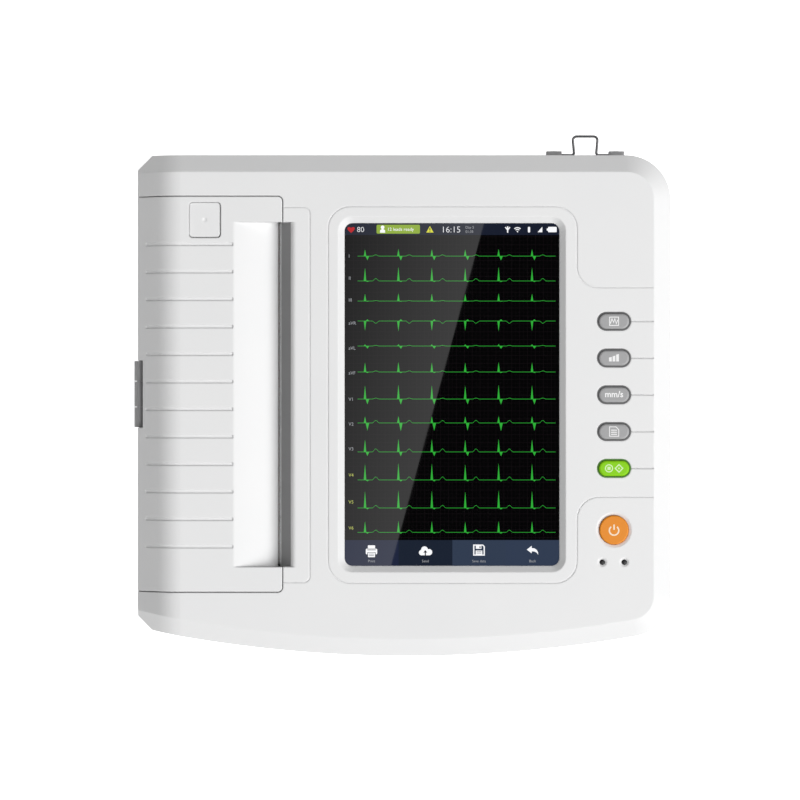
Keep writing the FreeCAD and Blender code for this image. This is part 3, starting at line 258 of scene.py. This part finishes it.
FINISHES = {
    "housing_white": finish("housing_white", WHITE, 0.42, grain=(0.45, 0.012), rough=(1.2, 0.05),
                            tone=(60, (0.785, 0.787, 0.79)), edge=1.2),
    "black_rubber": finish("black_rubber", (0.022, 0.022, 0.023), 0.78, grain=(0.6, 0.04),
                           rough=(2, 0.08), tone=(8, (0.035, 0.035, 0.036))),
    "zinc_steel": finish("zinc_steel", (0.58, 0.59, 0.60), 0.32, metallic=1.0, rough=(3, 0.09),
                         grain=(0.8, 0.006), tone=(9, (0.50, 0.52, 0.55))),
    "battery_wrap": wrap_finish("battery_wrap"),
    "display_glass": finish("display_glass", (0.0008, 0.0008, 0.0010), 0.009, rough=(25, 0.003)),
    "lcd_black": finish("lcd_black", (0.01, 0.01, 0.012), 0.3, rough=(5, 0.05)),
    "ribbon_amber": finish("ribbon_amber", (0.50, 0.20, 0.035), 0.36, rough=(2, 0.05),
                           tone=(3, (0.42, 0.15, 0.025))),
    "dark_trim": ring_finish("dark_trim", -38.0),
    "circuit_board": board_finish("circuit_board"),
    "dark_plastic": finish("dark_plastic", (0.045, 0.046, 0.048), 0.52, grain=(0.5, 0.02),
                           rough=(1.5, 0.06)),
    "lens_black": finish("lens_black", (0.004, 0.004, 0.005), 0.55, rough=(1, 0.05)),
    # tear_grey is painted shade: its dark grey stands in for the shadow on the steep white wall at
    # the paper slot.
    "tear_grey": finish("tear_grey", (0.245, 0.245, 0.248), 0.45, grain=(0.4, 0.01),
                        rough=(1, 0.05)),
    "hinge_grey": finish("hinge_grey", (0.40, 0.40, 0.405), 0.45, grain=(0.4, 0.01),
                         rough=(1, 0.05)),
    "platen_rubber": finish("platen_rubber", (0.045, 0.045, 0.047), 0.66, grain=(0.25, 0.02),
                            rough=(2, 0.06)),
    "natural_plastic": finish("natural_plastic", (0.76, 0.74, 0.68), 0.38, rough=(1.5, 0.05),
                              tone=(4, (0.70, 0.68, 0.61))),
    "brass": finish("brass", (0.76, 0.53, 0.22), 0.26, metallic=1.0, rough=(1.2, 0.07),
                    tone=(3, (0.66, 0.44, 0.17))),
    "aluminium_head": finish("aluminium_head", (0.74, 0.75, 0.76), 0.30, metallic=1.0,
                             rough=(0.4, 0.08), grain=(0.3, 0.006), stretch=(1, 0.03, 1)),
    "motor_black": finish("motor_black", (0.03, 0.03, 0.032), 0.40, metallic=0.2, rough=(2, 0.07),
                          grain=(0.6, 0.01)),
    "chart_paper": paper_finish("chart_paper"),
    "card_core": finish("card_core", (0.36, 0.26, 0.17), 0.86, grain=(0.3, 0.05),
                        tone=(2, (0.29, 0.20, 0.125))),
    "chip_black": finish("chip_black", (0.02, 0.02, 0.022), 0.48, grain=(0.3, 0.01),
                         rough=(2, 0.06)),
    "socket_black": finish("socket_black", (0.018, 0.018, 0.019), 0.42, grain=(0.4, 0.01),
                           rough=(1.5, 0.06)),
    "bail_wire": finish("bail_wire", (0.14, 0.14, 0.145), 0.34, metallic=1.0, rough=(1, 0.06)),
    "key_grey": finish("key_grey", (0.36, 0.36, 0.365), 0.50, grain=(0.35, 0.01), rough=(0.9, 0.05),
                       sheen=0.05),
    "key_green": finish("key_green", (0.25, 0.635, 0.006), 0.50, grain=(0.35, 0.01),
                        rough=(0.9, 0.05), gloss=0.22),
    "power_orange": finish("power_orange", (0.78, 0.255, 0.012), 0.46, grain=(0.35, 0.01),
                           rough=(0.9, 0.05), gloss=0.36),
}
ROLL = paper_finish("chart_paper_roll", around=(-128.0, 42.0, 27.0))


def dress(node, made):
    for holder in nodes[node].material_slots:
        holder.material = made


for row in frame["record"]["subparts"]:
    dress(row["node"], FINISHES[row["material_slot"]])
dress("paper_roll", ROLL)


# ---- screen and print finishes ------------------------------------------------------------
def lit(name, colour, base_share=0.15):
    """A lit part of the display, under the same gloss as its glass."""
    base = tuple(base_share * k for k in colour)
    return finish(name, base, 0.009, rough=(25, 0.003), glow=colour)


SCREEN = {
    "navy": lit("screen_navy", (0.0085, 0.0115, 0.024)),
    "soft_1": lit("screen_soft_1", (0.012, 0.017, 0.042)),
    "soft_2": lit("screen_soft_2", (0.010, 0.015, 0.028)),
    "soft_3": lit("screen_soft_3", (0.028, 0.041, 0.071)),
    "soft_4": lit("screen_soft_4", (0.028, 0.041, 0.073)),
    "green": lit("screen_green", (0.026, 0.37, 0.036)),
    "grid": lit("screen_grid", (0.0052, 0.0036, 0.0046)),
    "white": lit("screen_white", (0.84, 0.85, 0.87)),
    "grey": lit("screen_grey", (0.30, 0.31, 0.33)),
    "yellow": lit("screen_yellow", (0.62, 0.62, 0.04)),
    "label": lit("screen_label", (0.42, 0.46, 0.10)),
    "pill": lit("screen_pill", (0.235, 0.36, 0.034)),
    "red": lit("screen_red", (0.42, 0.012, 0.016)),
    "dark": lit("screen_dark", (0.012, 0.014, 0.020)),
}
INK_WHITE = finish("ink_white", (0.86, 0.86, 0.86), 0.45, rough=(0.8, 0.05), grain=(0.3, 0.004))
INK_CREAM = finish("ink_cream", (0.90, 0.74, 0.56), 0.45, rough=(0.8, 0.05), grain=(0.3, 0.004))
INK_LIME = finish("ink_lime", (0.66, 0.88, 0.46), 0.45, rough=(0.8, 0.05), grain=(0.3, 0.004))


# ---- plane shapes, in millimetres ---------------------------------------------------------
def round_box(x0, x1, y0, y1, radius, corners=(1, 1, 1, 1), steps=6):
    """A rectangle whose corners are round where corners is 1: rear right, then anticlockwise."""
    out = []
    ends = ((x1, y1, -1, -1, 0), (x0, y1, 1, -1, 90), (x0, y0, 1, 1, 180), (x1, y0, -1, 1, 270))
    for wanted, (x, y, sx, sy, first) in zip(corners, ends):
        if not wanted:
            out.append((x, y))
            continue
        for k in range(steps + 1):
            a = math.radians(first + 90 * k / steps)
            out.append((x + radius * (sx + math.cos(a)), y + radius * (sy + math.sin(a))))
    return out


def disc(x, y, radius, steps=32, first=0.0, last=360.0):
    whole = last - first >= 360
    count = steps if whole else steps + 1
    return [(x + radius * math.cos(math.radians(first + (last - first) * k / steps)),
             y + radius * math.sin(math.radians(first + (last - first) * k / steps)))
            for k in range(count)]


def stroke(points, width):
    """An open line of even width, as one loop round it."""
    sides = ([], [])
    for k, (x, y) in enumerate(points):
        before = points[max(k - 1, 0)]
        after = points[min(k + 1, len(points) - 1)]
        first = Vector((x - before[0], y - before[1]))
        second = Vector((after[0] - x, after[1] - y))
        first = first.normalized() if first.length else second.normalized()
        second = second.normalized() if second.length else first
        middle = (first + second).normalized()
        reach = width / 2 / max(middle.dot(first), 0.45)
        for side, out in zip((1, -1), sides):
            out.append((x - side * middle.y * reach, y + side * middle.x * reach))
    return sides[1] + sides[0][::-1]


def moved(points, x, y, size=1.0):
    return [(x + size * a, y + size * b) for a, b in points]


def band(outer, inner):
    """A ring between two loops with the same number of points."""
    return (outer, inner)


def frame_of(x0, x1, y0, y1, radius, width):
    inner = max(radius - width, 0.05)
    return band(round_box(x0, x1, y0, y1, radius),
                round_box(x0 + width, x1 - width, y0 + width, y1 - width, inner))


def circle_of(x, y, radius, width):
    return band(disc(x, y, radius), disc(x, y, radius - width))


def strip(upper, lower):
    """A filled band between two lines that share their x values."""
    return lower + upper[::-1]


# ---- thin prints --------------------------------------------------------------------------
def prism(mesh, loop, low, high):
    area = sum(a[0] * b[1] - b[0] * a[1] for a, b in zip(loop, loop[1:] + loop[:1]))
    if area < 0:
        loop = loop[::-1]
    base = [mesh.verts.new((x * MM, y * MM, low * MM)) for x, y in loop]
    head = [mesh.verts.new((x * MM, y * MM, high * MM)) for x, y in loop]
    mesh.faces.new(base[::-1])
    mesh.faces.new(head)
    for k in range(len(loop)):
        n = (k + 1) % len(loop)
        mesh.faces.new((base[k], base[n], head[n], head[k]))


def ring(mesh, outer, inner, low, high):
    rims = [[mesh.verts.new((x * MM, y * MM, z * MM)) for x, y in loop]
            for loop, z in ((outer, low), (outer, high), (inner, high), (inner, low))]
    for a, b in zip(rims, rims[1:] + rims[:1]):
        for k in range(len(outer)):
            n = (k + 1) % len(outer)
            mesh.faces.new((a[k], a[n], b[n], b[k]))


def write(mesh, words, size, x, y, low, high, align="LEFT", bold=0.0):
    """Lettering with capitals about 0.72 of size tall. x, y is where the line's foot starts, and
    bold thickens each stroke, or thins it below 0."""
    curve = bpy.data.curves.new("words", "FONT")
    curve.body = words
    curve.size = size * MM
    curve.align_x = align
    curve.extrude = (high - low) / 2 * MM
    curve.resolution_u = 3
    curve.offset = bold * MM
    holder = bpy.data.objects.new("words", curve)
    bpy.context.scene.collection.objects.link(holder)
    holder.location = (x * MM, y * MM, (low + high) / 2 * MM)
    bpy.context.view_layer.update()
    shown = holder.evaluated_get(bpy.context.evaluated_depsgraph_get())
    solid = bpy.data.meshes.new_from_object(shown)
    solid.transform(holder.matrix_world)
    mesh.from_mesh(solid)
    bpy.data.objects.remove(holder)
    bpy.data.meshes.remove(solid)


def printed(name, body, made, shapes=(), words=(), low=0.0, high=0.05, slot=None):
    """One thin closed print made of loops, rings and lettering between two levels."""
    mesh = bmesh.new()
    for shape in shapes:
        if isinstance(shape, tuple):
            ring(mesh, shape[0], shape[1], low, high)
        else:
            prism(mesh, shape, low, high)
    for text, size, x, y, align, *bold in words:
        write(mesh, text, size, x, y, low, high, align, *bold)
    bmesh.ops.remove_doubles(mesh, verts=mesh.verts, dist=1e-7)
    bmesh.ops.recalc_face_normals(mesh, faces=mesh.faces)
    data = bpy.data.meshes.new(name)
    mesh.to_mesh(data)
    mesh.free()
    data.materials.append(made)
    piece = bpy.data.objects.new(name, data)
    bpy.context.scene.collection.objects.link(piece)
    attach(piece, body)
    return piece


def on_screen(name, colour, shapes=(), words=(), layer=1):
    """A print on the glass. Each layer stands a little above the one before."""
    return printed(name, "root", SCREEN[colour], shapes, words, GLASS - 0.02,
                   GLASS + 0.03 * layer, slot="display_glass")


# ---- screen: bars and grid ----------------------------------------------------------------
STATUS_FOOT, SOFT_HEAD = 100.4, -92.3
SOFT_EDGES = (SCREEN_LEFT, -2.0, 32.0, 65.6, SCREEN_RIGHT)
on_screen("screen_status_bar", "navy",
          [round_box(SCREEN_LEFT, SCREEN_RIGHT, STATUS_FOOT, SCREEN_REAR, SCREEN_ROUND,
                     (1, 1, 0, 0))])
for k in range(4):
    rounded = (0, 0, int(k == 0), int(k == 3))
    on_screen("screen_soft_key_%d" % (k + 1), "soft_%d" % (k + 1),
              [round_box(SOFT_EDGES[k], SOFT_EDGES[k + 1], SCREEN_FRONT, SOFT_HEAD, SCREEN_ROUND,
                         rounded)])


GRID_PITCH, GRID_HALVES = 2.5, (0.16, 0.07)     # every second line is the wider one


def grid_lines():
    shapes = []
    count = int((SCREEN_RIGHT - SCREEN_LEFT) / GRID_PITCH)
    for k in range(count + 1):
        x = SCREEN_LEFT + 0.6 + GRID_PITCH * k
        half = GRID_HALVES[k % 2]
        shapes.append([(x - half, SOFT_HEAD), (x + half, SOFT_HEAD), (x + half, STATUS_FOOT),
                       (x - half, STATUS_FOOT)])
    return shapes


def grid_rungs():
    shapes = []
    count = int((STATUS_FOOT - SOFT_HEAD) / GRID_PITCH)
    for k in range(count):
        y = SOFT_HEAD + 1.6 + GRID_PITCH * k
        half = GRID_HALVES[k % 2]
        shapes.append([(SCREEN_LEFT, y - half), (SCREEN_RIGHT, y - half), (SCREEN_RIGHT, y + half),
                       (SCREEN_LEFT, y + half)])
    return shapes


on_screen("screen_grid_lines", "grid", grid_lines(), layer=0.3)
on_screen("screen_grid_rungs", "grid", grid_rungs(), layer=0.2)


# ---- screen: the twelve traces ------------------------------------------------------------
BEAT_FIRST, BEAT_PITCH, BEATS = -23.2, 21.1, 6
TRACE_LEFT, TRACE_RIGHT, TRACE_WIDE = -27.9, 97.2, 0.27
# lead: name, level of its line, R height, S depth, T height, level of its label
LEADS = (("I", 87.1, 4.4, -2.6, 0.8, 86.2), ("II", 71.4, 8.8, -0.5, 1.5, 72.2),
         ("III", 58.7, 4.8, -0.2, 0.3, 58.4), ("aVR", 46.1, -6.4, 1.0, -1.4, 43.8),
         ("aVL", 30.3, 1.0, -1.6, 0.4, 28.0), ("aVF", 13.9, 6.2, -0.5, 0.7, 12.3),
         ("V1", -3.2, 9.0, -3.4, 0.6, -4.3), ("V2", -18.3, 4.2, -5.0, 1.6, -20.0),
         ("V3", -36.6, 8.2, -2.6, 1.9, -35.7), ("V4", -54.3, 10.6, -0.8, 1.9, -52.2),
         ("V5", -72.0, 11.2, -0.8, 1.6, -69.2), ("V6", -87.4, 7.2, -0.7, 1.4, -85.6))
R_HALF, S_AT, S_HALF, T_AT, T_HALF = 0.8, 1.5, 1.1, 6.8, 2.3


def wave(x, centre, half, height):
    """A smooth hump."""
    share = abs(x - centre) / half
    return height * (0.5 + 0.5 * math.cos(math.pi * share)) if share < 1 else 0.0


def spike(x, centre, half, height):
    share = abs(x - centre) / half
    return height * (1 - share) if share < 1 else 0.0


def trace(level, r_height, s_depth, t_height):
    """The line of one lead: thin between beats and filled where it runs up and down a beat."""
    upper, lower = [], []
    places = {TRACE_LEFT, TRACE_RIGHT}
    for beat in range(BEATS):
        centre = BEAT_FIRST + BEAT_PITCH * beat
        for k in range(-8, 40):
            places.add(centre + 0.25 * k)
        places |= {centre - R_HALF, centre + R_HALF, centre + S_AT, centre + S_AT - S_HALF,
                   centre + S_AT + S_HALF}
    for x in sorted(p for p in places if TRACE_LEFT <= p <= TRACE_RIGHT):
        slow = fast_up = fast_down = 0.0
        for beat in range(BEATS):
            centre = BEAT_FIRST + BEAT_PITCH * beat
            gain = 1.0 - 0.08 * ((beat * 7 + 3) % 5) / 4
            slow += wave(x, centre + T_AT, T_HALF, t_height) + wave(x, centre - 3.6, 1.3, 0.12)
            r_part = spike(x, centre, R_HALF, r_height * gain)
            s_part = spike(x, centre + S_AT, S_HALF, s_depth * gain)
            fast_up = max(fast_up, r_part, s_part)
            fast_down = min(fast_down, r_part, s_part)
        upper.append((x, level + slow + fast_up + TRACE_WIDE / 2))
        lower.append((x, level + slow + fast_down - TRACE_WIDE / 2))
    return strip(upper, lower)


for lead, level, r_height, s_depth, t_height, label in LEADS:
    on_screen("screen_trace_" + lead, "green", [trace(level, r_height, s_depth, t_height)], layer=1)
LABEL_X, LABEL_SIZE = -33.6, 2.9
on_screen("screen_labels_limb", "grey",
          words=[(row[0], LABEL_SIZE, LABEL_X, row[5], "LEFT") for row in LEADS[:9]])
on_screen("screen_labels_chest", "label",
          words=[(row[0], LABEL_SIZE, LABEL_X, row[5], "LEFT") for row in LEADS[9:]])


# ---- screen: status bar -------------------------------------------------------------------
def heart(x, y, size):
    out = []
    for k in range(36):
        a = 2 * math.pi * k / 36
        out.append((x + size * math.sin(a) ** 3,
                    y + size * (0.78 * math.cos(a) - 0.30 * math.cos(2 * a)
                                - 0.12 * math.cos(3 * a))))
    return out


def fan(x, y, radius, width):
    return stroke(disc(x, y, radius, 12, 45, 135), width)


on_screen("screen_heart", "red", [heart(-32.0, 103.9, 2.3)], layer=2)
on_screen("screen_pill", "pill", [round_box(-15.9, 11.5, 101.3, 106.9, 0.8)], layer=2)
on_screen("screen_alert", "yellow", [[(15.5, 102.0), (20.1, 102.0), (17.8, 106.1)]], layer=2)
on_screen("screen_alert_mark", "dark",
          [round_box(17.5, 18.1, 103.2, 105.0, 0.25), disc(17.8, 102.6, 0.33, 12)], layer=3)
on_screen("screen_person", "white",
          [disc(-12.1, 105.3, 1.15, 20), round_box(-13.7, -10.5, 101.9, 103.9, 0.9, (1, 1, 0, 0)),
           round_box(-12.7, -11.5, 103.2, 104.6, 0.3)], layer=3)
on_screen("screen_clock", "white", words=[("16:15", 5.6, 24.9, 102.0, "LEFT", -0.08),
                                          ("80", 4.8, -28.4, 102.3, "LEFT", -0.07)], layer=2)
on_screen("screen_small_words", "grey", words=[("Day 5", 2.3, 40.2, 104.5, "LEFT"),
                                               ("01.05", 2.3, 40.2, 101.8, "LEFT")], layer=2)
on_screen("screen_pill_words", "white", words=[("12 leads ready", 2.9, -9.2, 103.1, "LEFT")],
          layer=3)
on_screen("screen_status_icons", "white", [
    stroke([(66.9, 101.9), (66.9, 105.9)], 0.8),
    stroke([(65.4, 105.4), (66.9, 103.6), (68.4, 105.4)], 0.7),
    fan(73.1, 102.4, 2.7, 0.6), fan(73.1, 102.4, 1.6, 0.6), disc(73.1, 102.6, 0.45, 14),
    round_box(79.7, 81.1, 102.0, 105.6, 0.65),
    [(85.8, 102.2), (88.8, 102.2), (88.8, 105.6)],
    round_box(92.4, 97.9, 102.2, 105.6, 0.6), round_box(91.6, 92.5, 103.2, 104.6, 0.2)], layer=2)


# ---- screen: soft keys --------------------------------------------------------------------
def printer_icon(x, y):
    """Body, gaps, sheet and the lines on the sheet."""
    return ([round_box(x - 3.6, x + 3.6, y - 1.9, y + 1.7, 0.8),
             round_box(x - 2.3, x + 2.3, y + 1.9, y + 3.8, 0.4)],
            [round_box(x - 2.7, x + 2.7, y + 0.7, y + 1.15, 0.1),
             round_box(x - 2.6, x + 2.6, y - 3.9, y - 0.6, 0.2)],
            [round_box(x - 2.2, x + 2.2, y - 3.7, y - 0.9, 0.3)],
            [round_box(x - 1.6, x + 1.6, y - 1.9, y - 1.55, 0.1),
             round_box(x - 1.6, x + 1.6, y - 2.9, y - 2.55, 0.1)])


def cloud_icon(x, y):
    puffs = [disc(x - 2.3, y - 1.0, 1.75, 24), disc(x - 0.5, y + 0.8, 2.15, 28),
             disc(x + 2.4, y - 0.7, 1.95, 24), round_box(x - 3.0, x + 3.0, y - 2.7, y - 0.4, 0.3)]
    arrow = [(-0.35, -3.1), (0.35, -3.1), (0.35, -1.0), (1.3, -1.0), (0, 0.6), (-1.3, -1.0),
             (-0.35, -1.0)]
    return puffs, [moved(arrow, x, y)]


def disk_icon(x, y):
    body = [(-3.7, -3.5), (3.7, -3.5), (3.7, 2.3), (2.5, 3.5), (-3.7, 3.5)]
    inner = [(-2.9, -2.8), (2.9, -2.8), (2.9, 2.0), (2.2, 2.8), (-2.9, 2.8)]
    plates = [round_box(x - 2.0, x + 1.5, y + 0.8, y + 2.8, 0.1),
              round_box(x - 2.1, x + 2.1, y - 2.8, y - 0.3, 0.1)]
    slots = [round_box(x + 0.3, x + 1.0, y + 1.2, y + 2.4, 0.1),
             round_box(x - 1.5, x + 1.5, y - 1.2, y - 0.9, 0.1),
             round_box(x - 1.5, x + 1.5, y - 2.1, y - 1.8, 0.1)]
    return moved(body, x, y), moved(inner, x, y), plates, slots


def arrow_icon(x, y):
    loop = [(-3.6, 0.5), (-0.5, 2.9), (-0.5, 1.5), (1.2, 1.3), (2.7, 0.3), (3.5, -1.2),
            (3.6, -2.8), (2.6, -1.4), (1.2, -0.7), (-0.5, -0.6), (-0.5, -1.9)]
    return [moved(loop, x, y)]


sheets = printer_icon(-19.1, -99.4)
cloud, cloud_arrow = cloud_icon(14.9, -99.2)
disk, disk_inner, disk_plates, disk_slots = disk_icon(48.8, -98.6)
on_screen("screen_soft_icons", "white",
          sheets[0] + cloud + [band(disk, disk_inner)] + arrow_icon(82.6, -98.8), layer=2)
on_screen("screen_soft_gaps", "dark", sheets[1] + cloud_arrow, layer=3)
on_screen("screen_soft_plates", "white", sheets[2] + disk_plates, layer=4)
on_screen("screen_soft_lines", "dark", sheets[3] + disk_slots, layer=5)
on_screen("screen_soft_words", "grey",
          words=[(text, 2.3, x, -106.3, "CENTER") for text, x in
                 (("Print", -19.1), ("Send", 14.9), ("Save data", 48.8), ("Back", 82.6))], layer=2)


# ---- key legends --------------------------------------------------------------------------
def on_key(name, body, node, made, shapes=(), words=(), slot="key_grey"):
    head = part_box(node)[1].z / MM
    return printed(name, body, made, shapes, words, head - 0.03, head + 0.04, slot)


def key_centre(node):
    low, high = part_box(node)
    return (low.x + high.x) / 2 / MM, (low.y + high.y) / 2 / MM


x, y = key_centre("key_waveform")
zigzag = [(-2.4, -1.5), (-1.3, 1.5), (-0.3, -0.7), (0.5, 1.6), (1.4, -1.6), (2.3, 0.9)]
on_key("legend_waveform", "waveform_key", "key_waveform", INK_WHITE,
       [frame_of(x - 3.1, x + 3.1, y - 2.9, y + 2.9, 0.3, 0.55), stroke(moved(zigzag, x, y), 0.6)])
x, y = key_centre("key_gain")
on_key("legend_gain", "gain_key", "key_gain", INK_WHITE,
       [moved([(a, -2.2), (a + 1.75, -2.2), (a + 1.75, top - 2.2), (a, top - 2.6)], x, y)
        for a, top in ((-3.2, 2.9), (-0.95, 3.7), (1.3, 4.7))])
x, y = key_centre("key_speed")
on_key("legend_speed", "speed_key", "key_speed", INK_WHITE,
       words=[("mm/s", 5.3, x, y - 1.4, "CENTER", 0.13)])
x, y = key_centre("key_copy")
page = [(-3.1, -3.2), (3.2, -3.2), (3.2, 1.3), (1.3, 3.2), (-3.1, 3.2)]
hole = [(-2.6, -2.7), (2.7, -2.7), (2.7, 1.1), (1.1, 2.7), (-2.6, 2.7)]
on_key("legend_copy", "copy_key", "key_copy", INK_WHITE,
       [band(moved(page, x, y), moved(hole, x, y))]
       + [round_box(x - 1.9, x + 1.9, y + k - 0.3, y + k + 0.3, 0.1) for k in (-1.7, -0.4, 0.9)])
x, y = key_centre("key_start")
on_key("legend_start", "start_key", "key_start", INK_LIME,
       [circle_of(x - 3.2, y, 2.6, 0.7), round_box(x - 4.2, x - 2.2, y - 1.0, y + 1.0, 0.2),
        band(disc(x + 3.1, y, 2.9, 4), disc(x + 3.1, y, 1.9, 4)),
        round_box(x + 2.6, x + 3.6, y - 0.5, y + 0.5, 0.1)],
       slot="key_green")
x, y = key_centre("power_button")
on_key("legend_power", "power_key", "power_button", INK_CREAM,
       [stroke(disc(x, y - 0.3, 2.95, 30, -232, 52), 0.95),
        round_box(x - 0.5, x + 0.5, y + 0.1, y + 3.5, 0.2)],
       slot="power_orange")


# ---- return spring of the cover's button --------------------------------------------------
coil = bpy.data.objects.new("button_coil", nodes["button_spring"].data.copy())
bpy.context.scene.collection.objects.link(coil)
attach(coil, "cover")
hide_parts("button_spring")
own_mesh(coil)


# ---- stage --------------------------------------------------------------------------------
def stage_sheet(name, corners, height, made):
    mesh = bpy.data.meshes.new(name)
    mesh.from_pydata([(x, y, height) for x, y in corners], [], [tuple(range(len(corners)))])
    mesh.materials.append(made)
    sheet = bpy.data.objects.new(name, mesh)
    bpy.context.scene.collection.objects.link(sheet)
    return sheet


def square(half):
    return [(-half, -half), (half, -half), (half, half), (-half, half)]


def grey(level):
    return (level, level, level)


FLOOR_HALF, FLOOR_LEVEL, BOUNCE_LEVEL = 9.0, -0.0001, -0.0003
FLOOR_TONE, FLOOR_GLOW, BOUNCE_TONE, BOUNCE_GLOW = 0.93, 0.84, 0.80, 0.50
floor_finish = finish("pale_floor", grey(FLOOR_TONE), 0.8, glow=grey(FLOOR_GLOW))
floor = stage_sheet("floor", square(FLOOR_HALF), FLOOR_LEVEL, floor_finish)
floor.visible_diffuse = False        # the sheet below it gives the object its bounced light
bounce_finish = finish("bounce_floor", grey(BOUNCE_TONE), 0.9, glow=grey(BOUNCE_GLOW))
bounce_floor = stage_sheet("bounce_floor", square(FLOOR_HALF), BOUNCE_LEVEL, bounce_finish)
bounce_floor.visible_camera = False

# Two cards that only the display's gloss shows: a black one, and below it a bright one whose
# leaning edge draws the glare across the glass and fades to the left.
CARD_HEIGHT, CARD_HALF, BLACK_ABOVE, BLACK_HALF = 4.0, 0.7, 0.03, 0.75
GLARE_LEAN, GLARE_AT, GLARE_FADE, GLARE_STRENGTH = 0.2714, 0.0523, 0.291, 1.2
black_card = stage_sheet("black_card", square(BLACK_HALF), CARD_HEIGHT + BLACK_ABOVE,
                         finish("flag_black", grey(0), 1.0))
glare_finish = bpy.data.materials.new("glare_card")
glare_finish.use_nodes = True
tree = glare_finish.node_tree
tree.nodes.clear()
x, y, z = axes(tree)
border = maths(tree, "ADD", maths(tree, "MULTIPLY", y, GLARE_LEAN), GLARE_AT)
inside = maths(tree, "SUBTRACT", border, x)
fall = maths(tree, "SUBTRACT", 1.0, maths(tree, "DIVIDE", inside, GLARE_FADE))
lamp = tree.nodes.new("ShaderNodeEmission")
tree.links.new(maths(tree, "MULTIPLY", maths(tree, "MAXIMUM", fall, 0.0), GLARE_STRENGTH),
               lamp.inputs["Strength"])
out = tree.nodes.new("ShaderNodeOutputMaterial")
tree.links.new(lamp.outputs[0], out.inputs["Surface"])
front_edge, rear_edge = [(GLARE_AT + GLARE_LEAN * y, y) for y in (-CARD_HALF, CARD_HALF)]
glare_card = stage_sheet("glare_card", [(-CARD_HALF, -CARD_HALF), front_edge, rear_edge,
                                        (-CARD_HALF, CARD_HALF)], CARD_HEIGHT, glare_finish)
for card in (black_card, glare_card):
    card.visible_camera = False
    card.visible_shadow = False

WORLD_STRENGTH = 0.19
world = bpy.data.worlds.new("studio")
bpy.context.scene.world = world
world.use_nodes = True
backdrop = world.node_tree.nodes["Background"]
backdrop.inputs["Color"].default_value = (1.0, 1.0, 1.0, 1.0)
backdrop.inputs["Strength"].default_value = WORLD_STRENGTH

KEY_AIM = Vector((0.315, -0.195, 0.50)).normalized()
KEY_AWAY, KEY_SIZE, KEY_POWER = 8.0, 9.0, 900.0
key = bpy.data.lights.new("key_light", "AREA")
key.shape = "SQUARE"
key.size = KEY_SIZE
key.energy = KEY_POWER
holder = bpy.data.objects.new("key_light", key)
bpy.context.scene.collection.objects.link(holder)
holder.location = KEY_AIM * KEY_AWAY
holder.rotation_euler = KEY_AIM.to_track_quat("Z", "Y").to_euler()
holder.visible_camera = False

CAMERA_PLACE = (-0.0011, -0.0038, 3.085)     # it looks straight down
CAMERA_LENS, CAMERA_SENSOR, CAMERA_FAR = 214.0, 36.0, 60.0
lens = bpy.data.cameras.new("camera")
lens.sensor_width = CAMERA_SENSOR
lens.lens = CAMERA_LENS
lens.clip_end = CAMERA_FAR
camera = bpy.data.objects.new("camera", lens)
bpy.context.scene.collection.objects.link(camera)
camera.location = CAMERA_PLACE
bpy.context.scene.camera = camera
bpy.context.scene.view_settings.view_transform = "Standard"
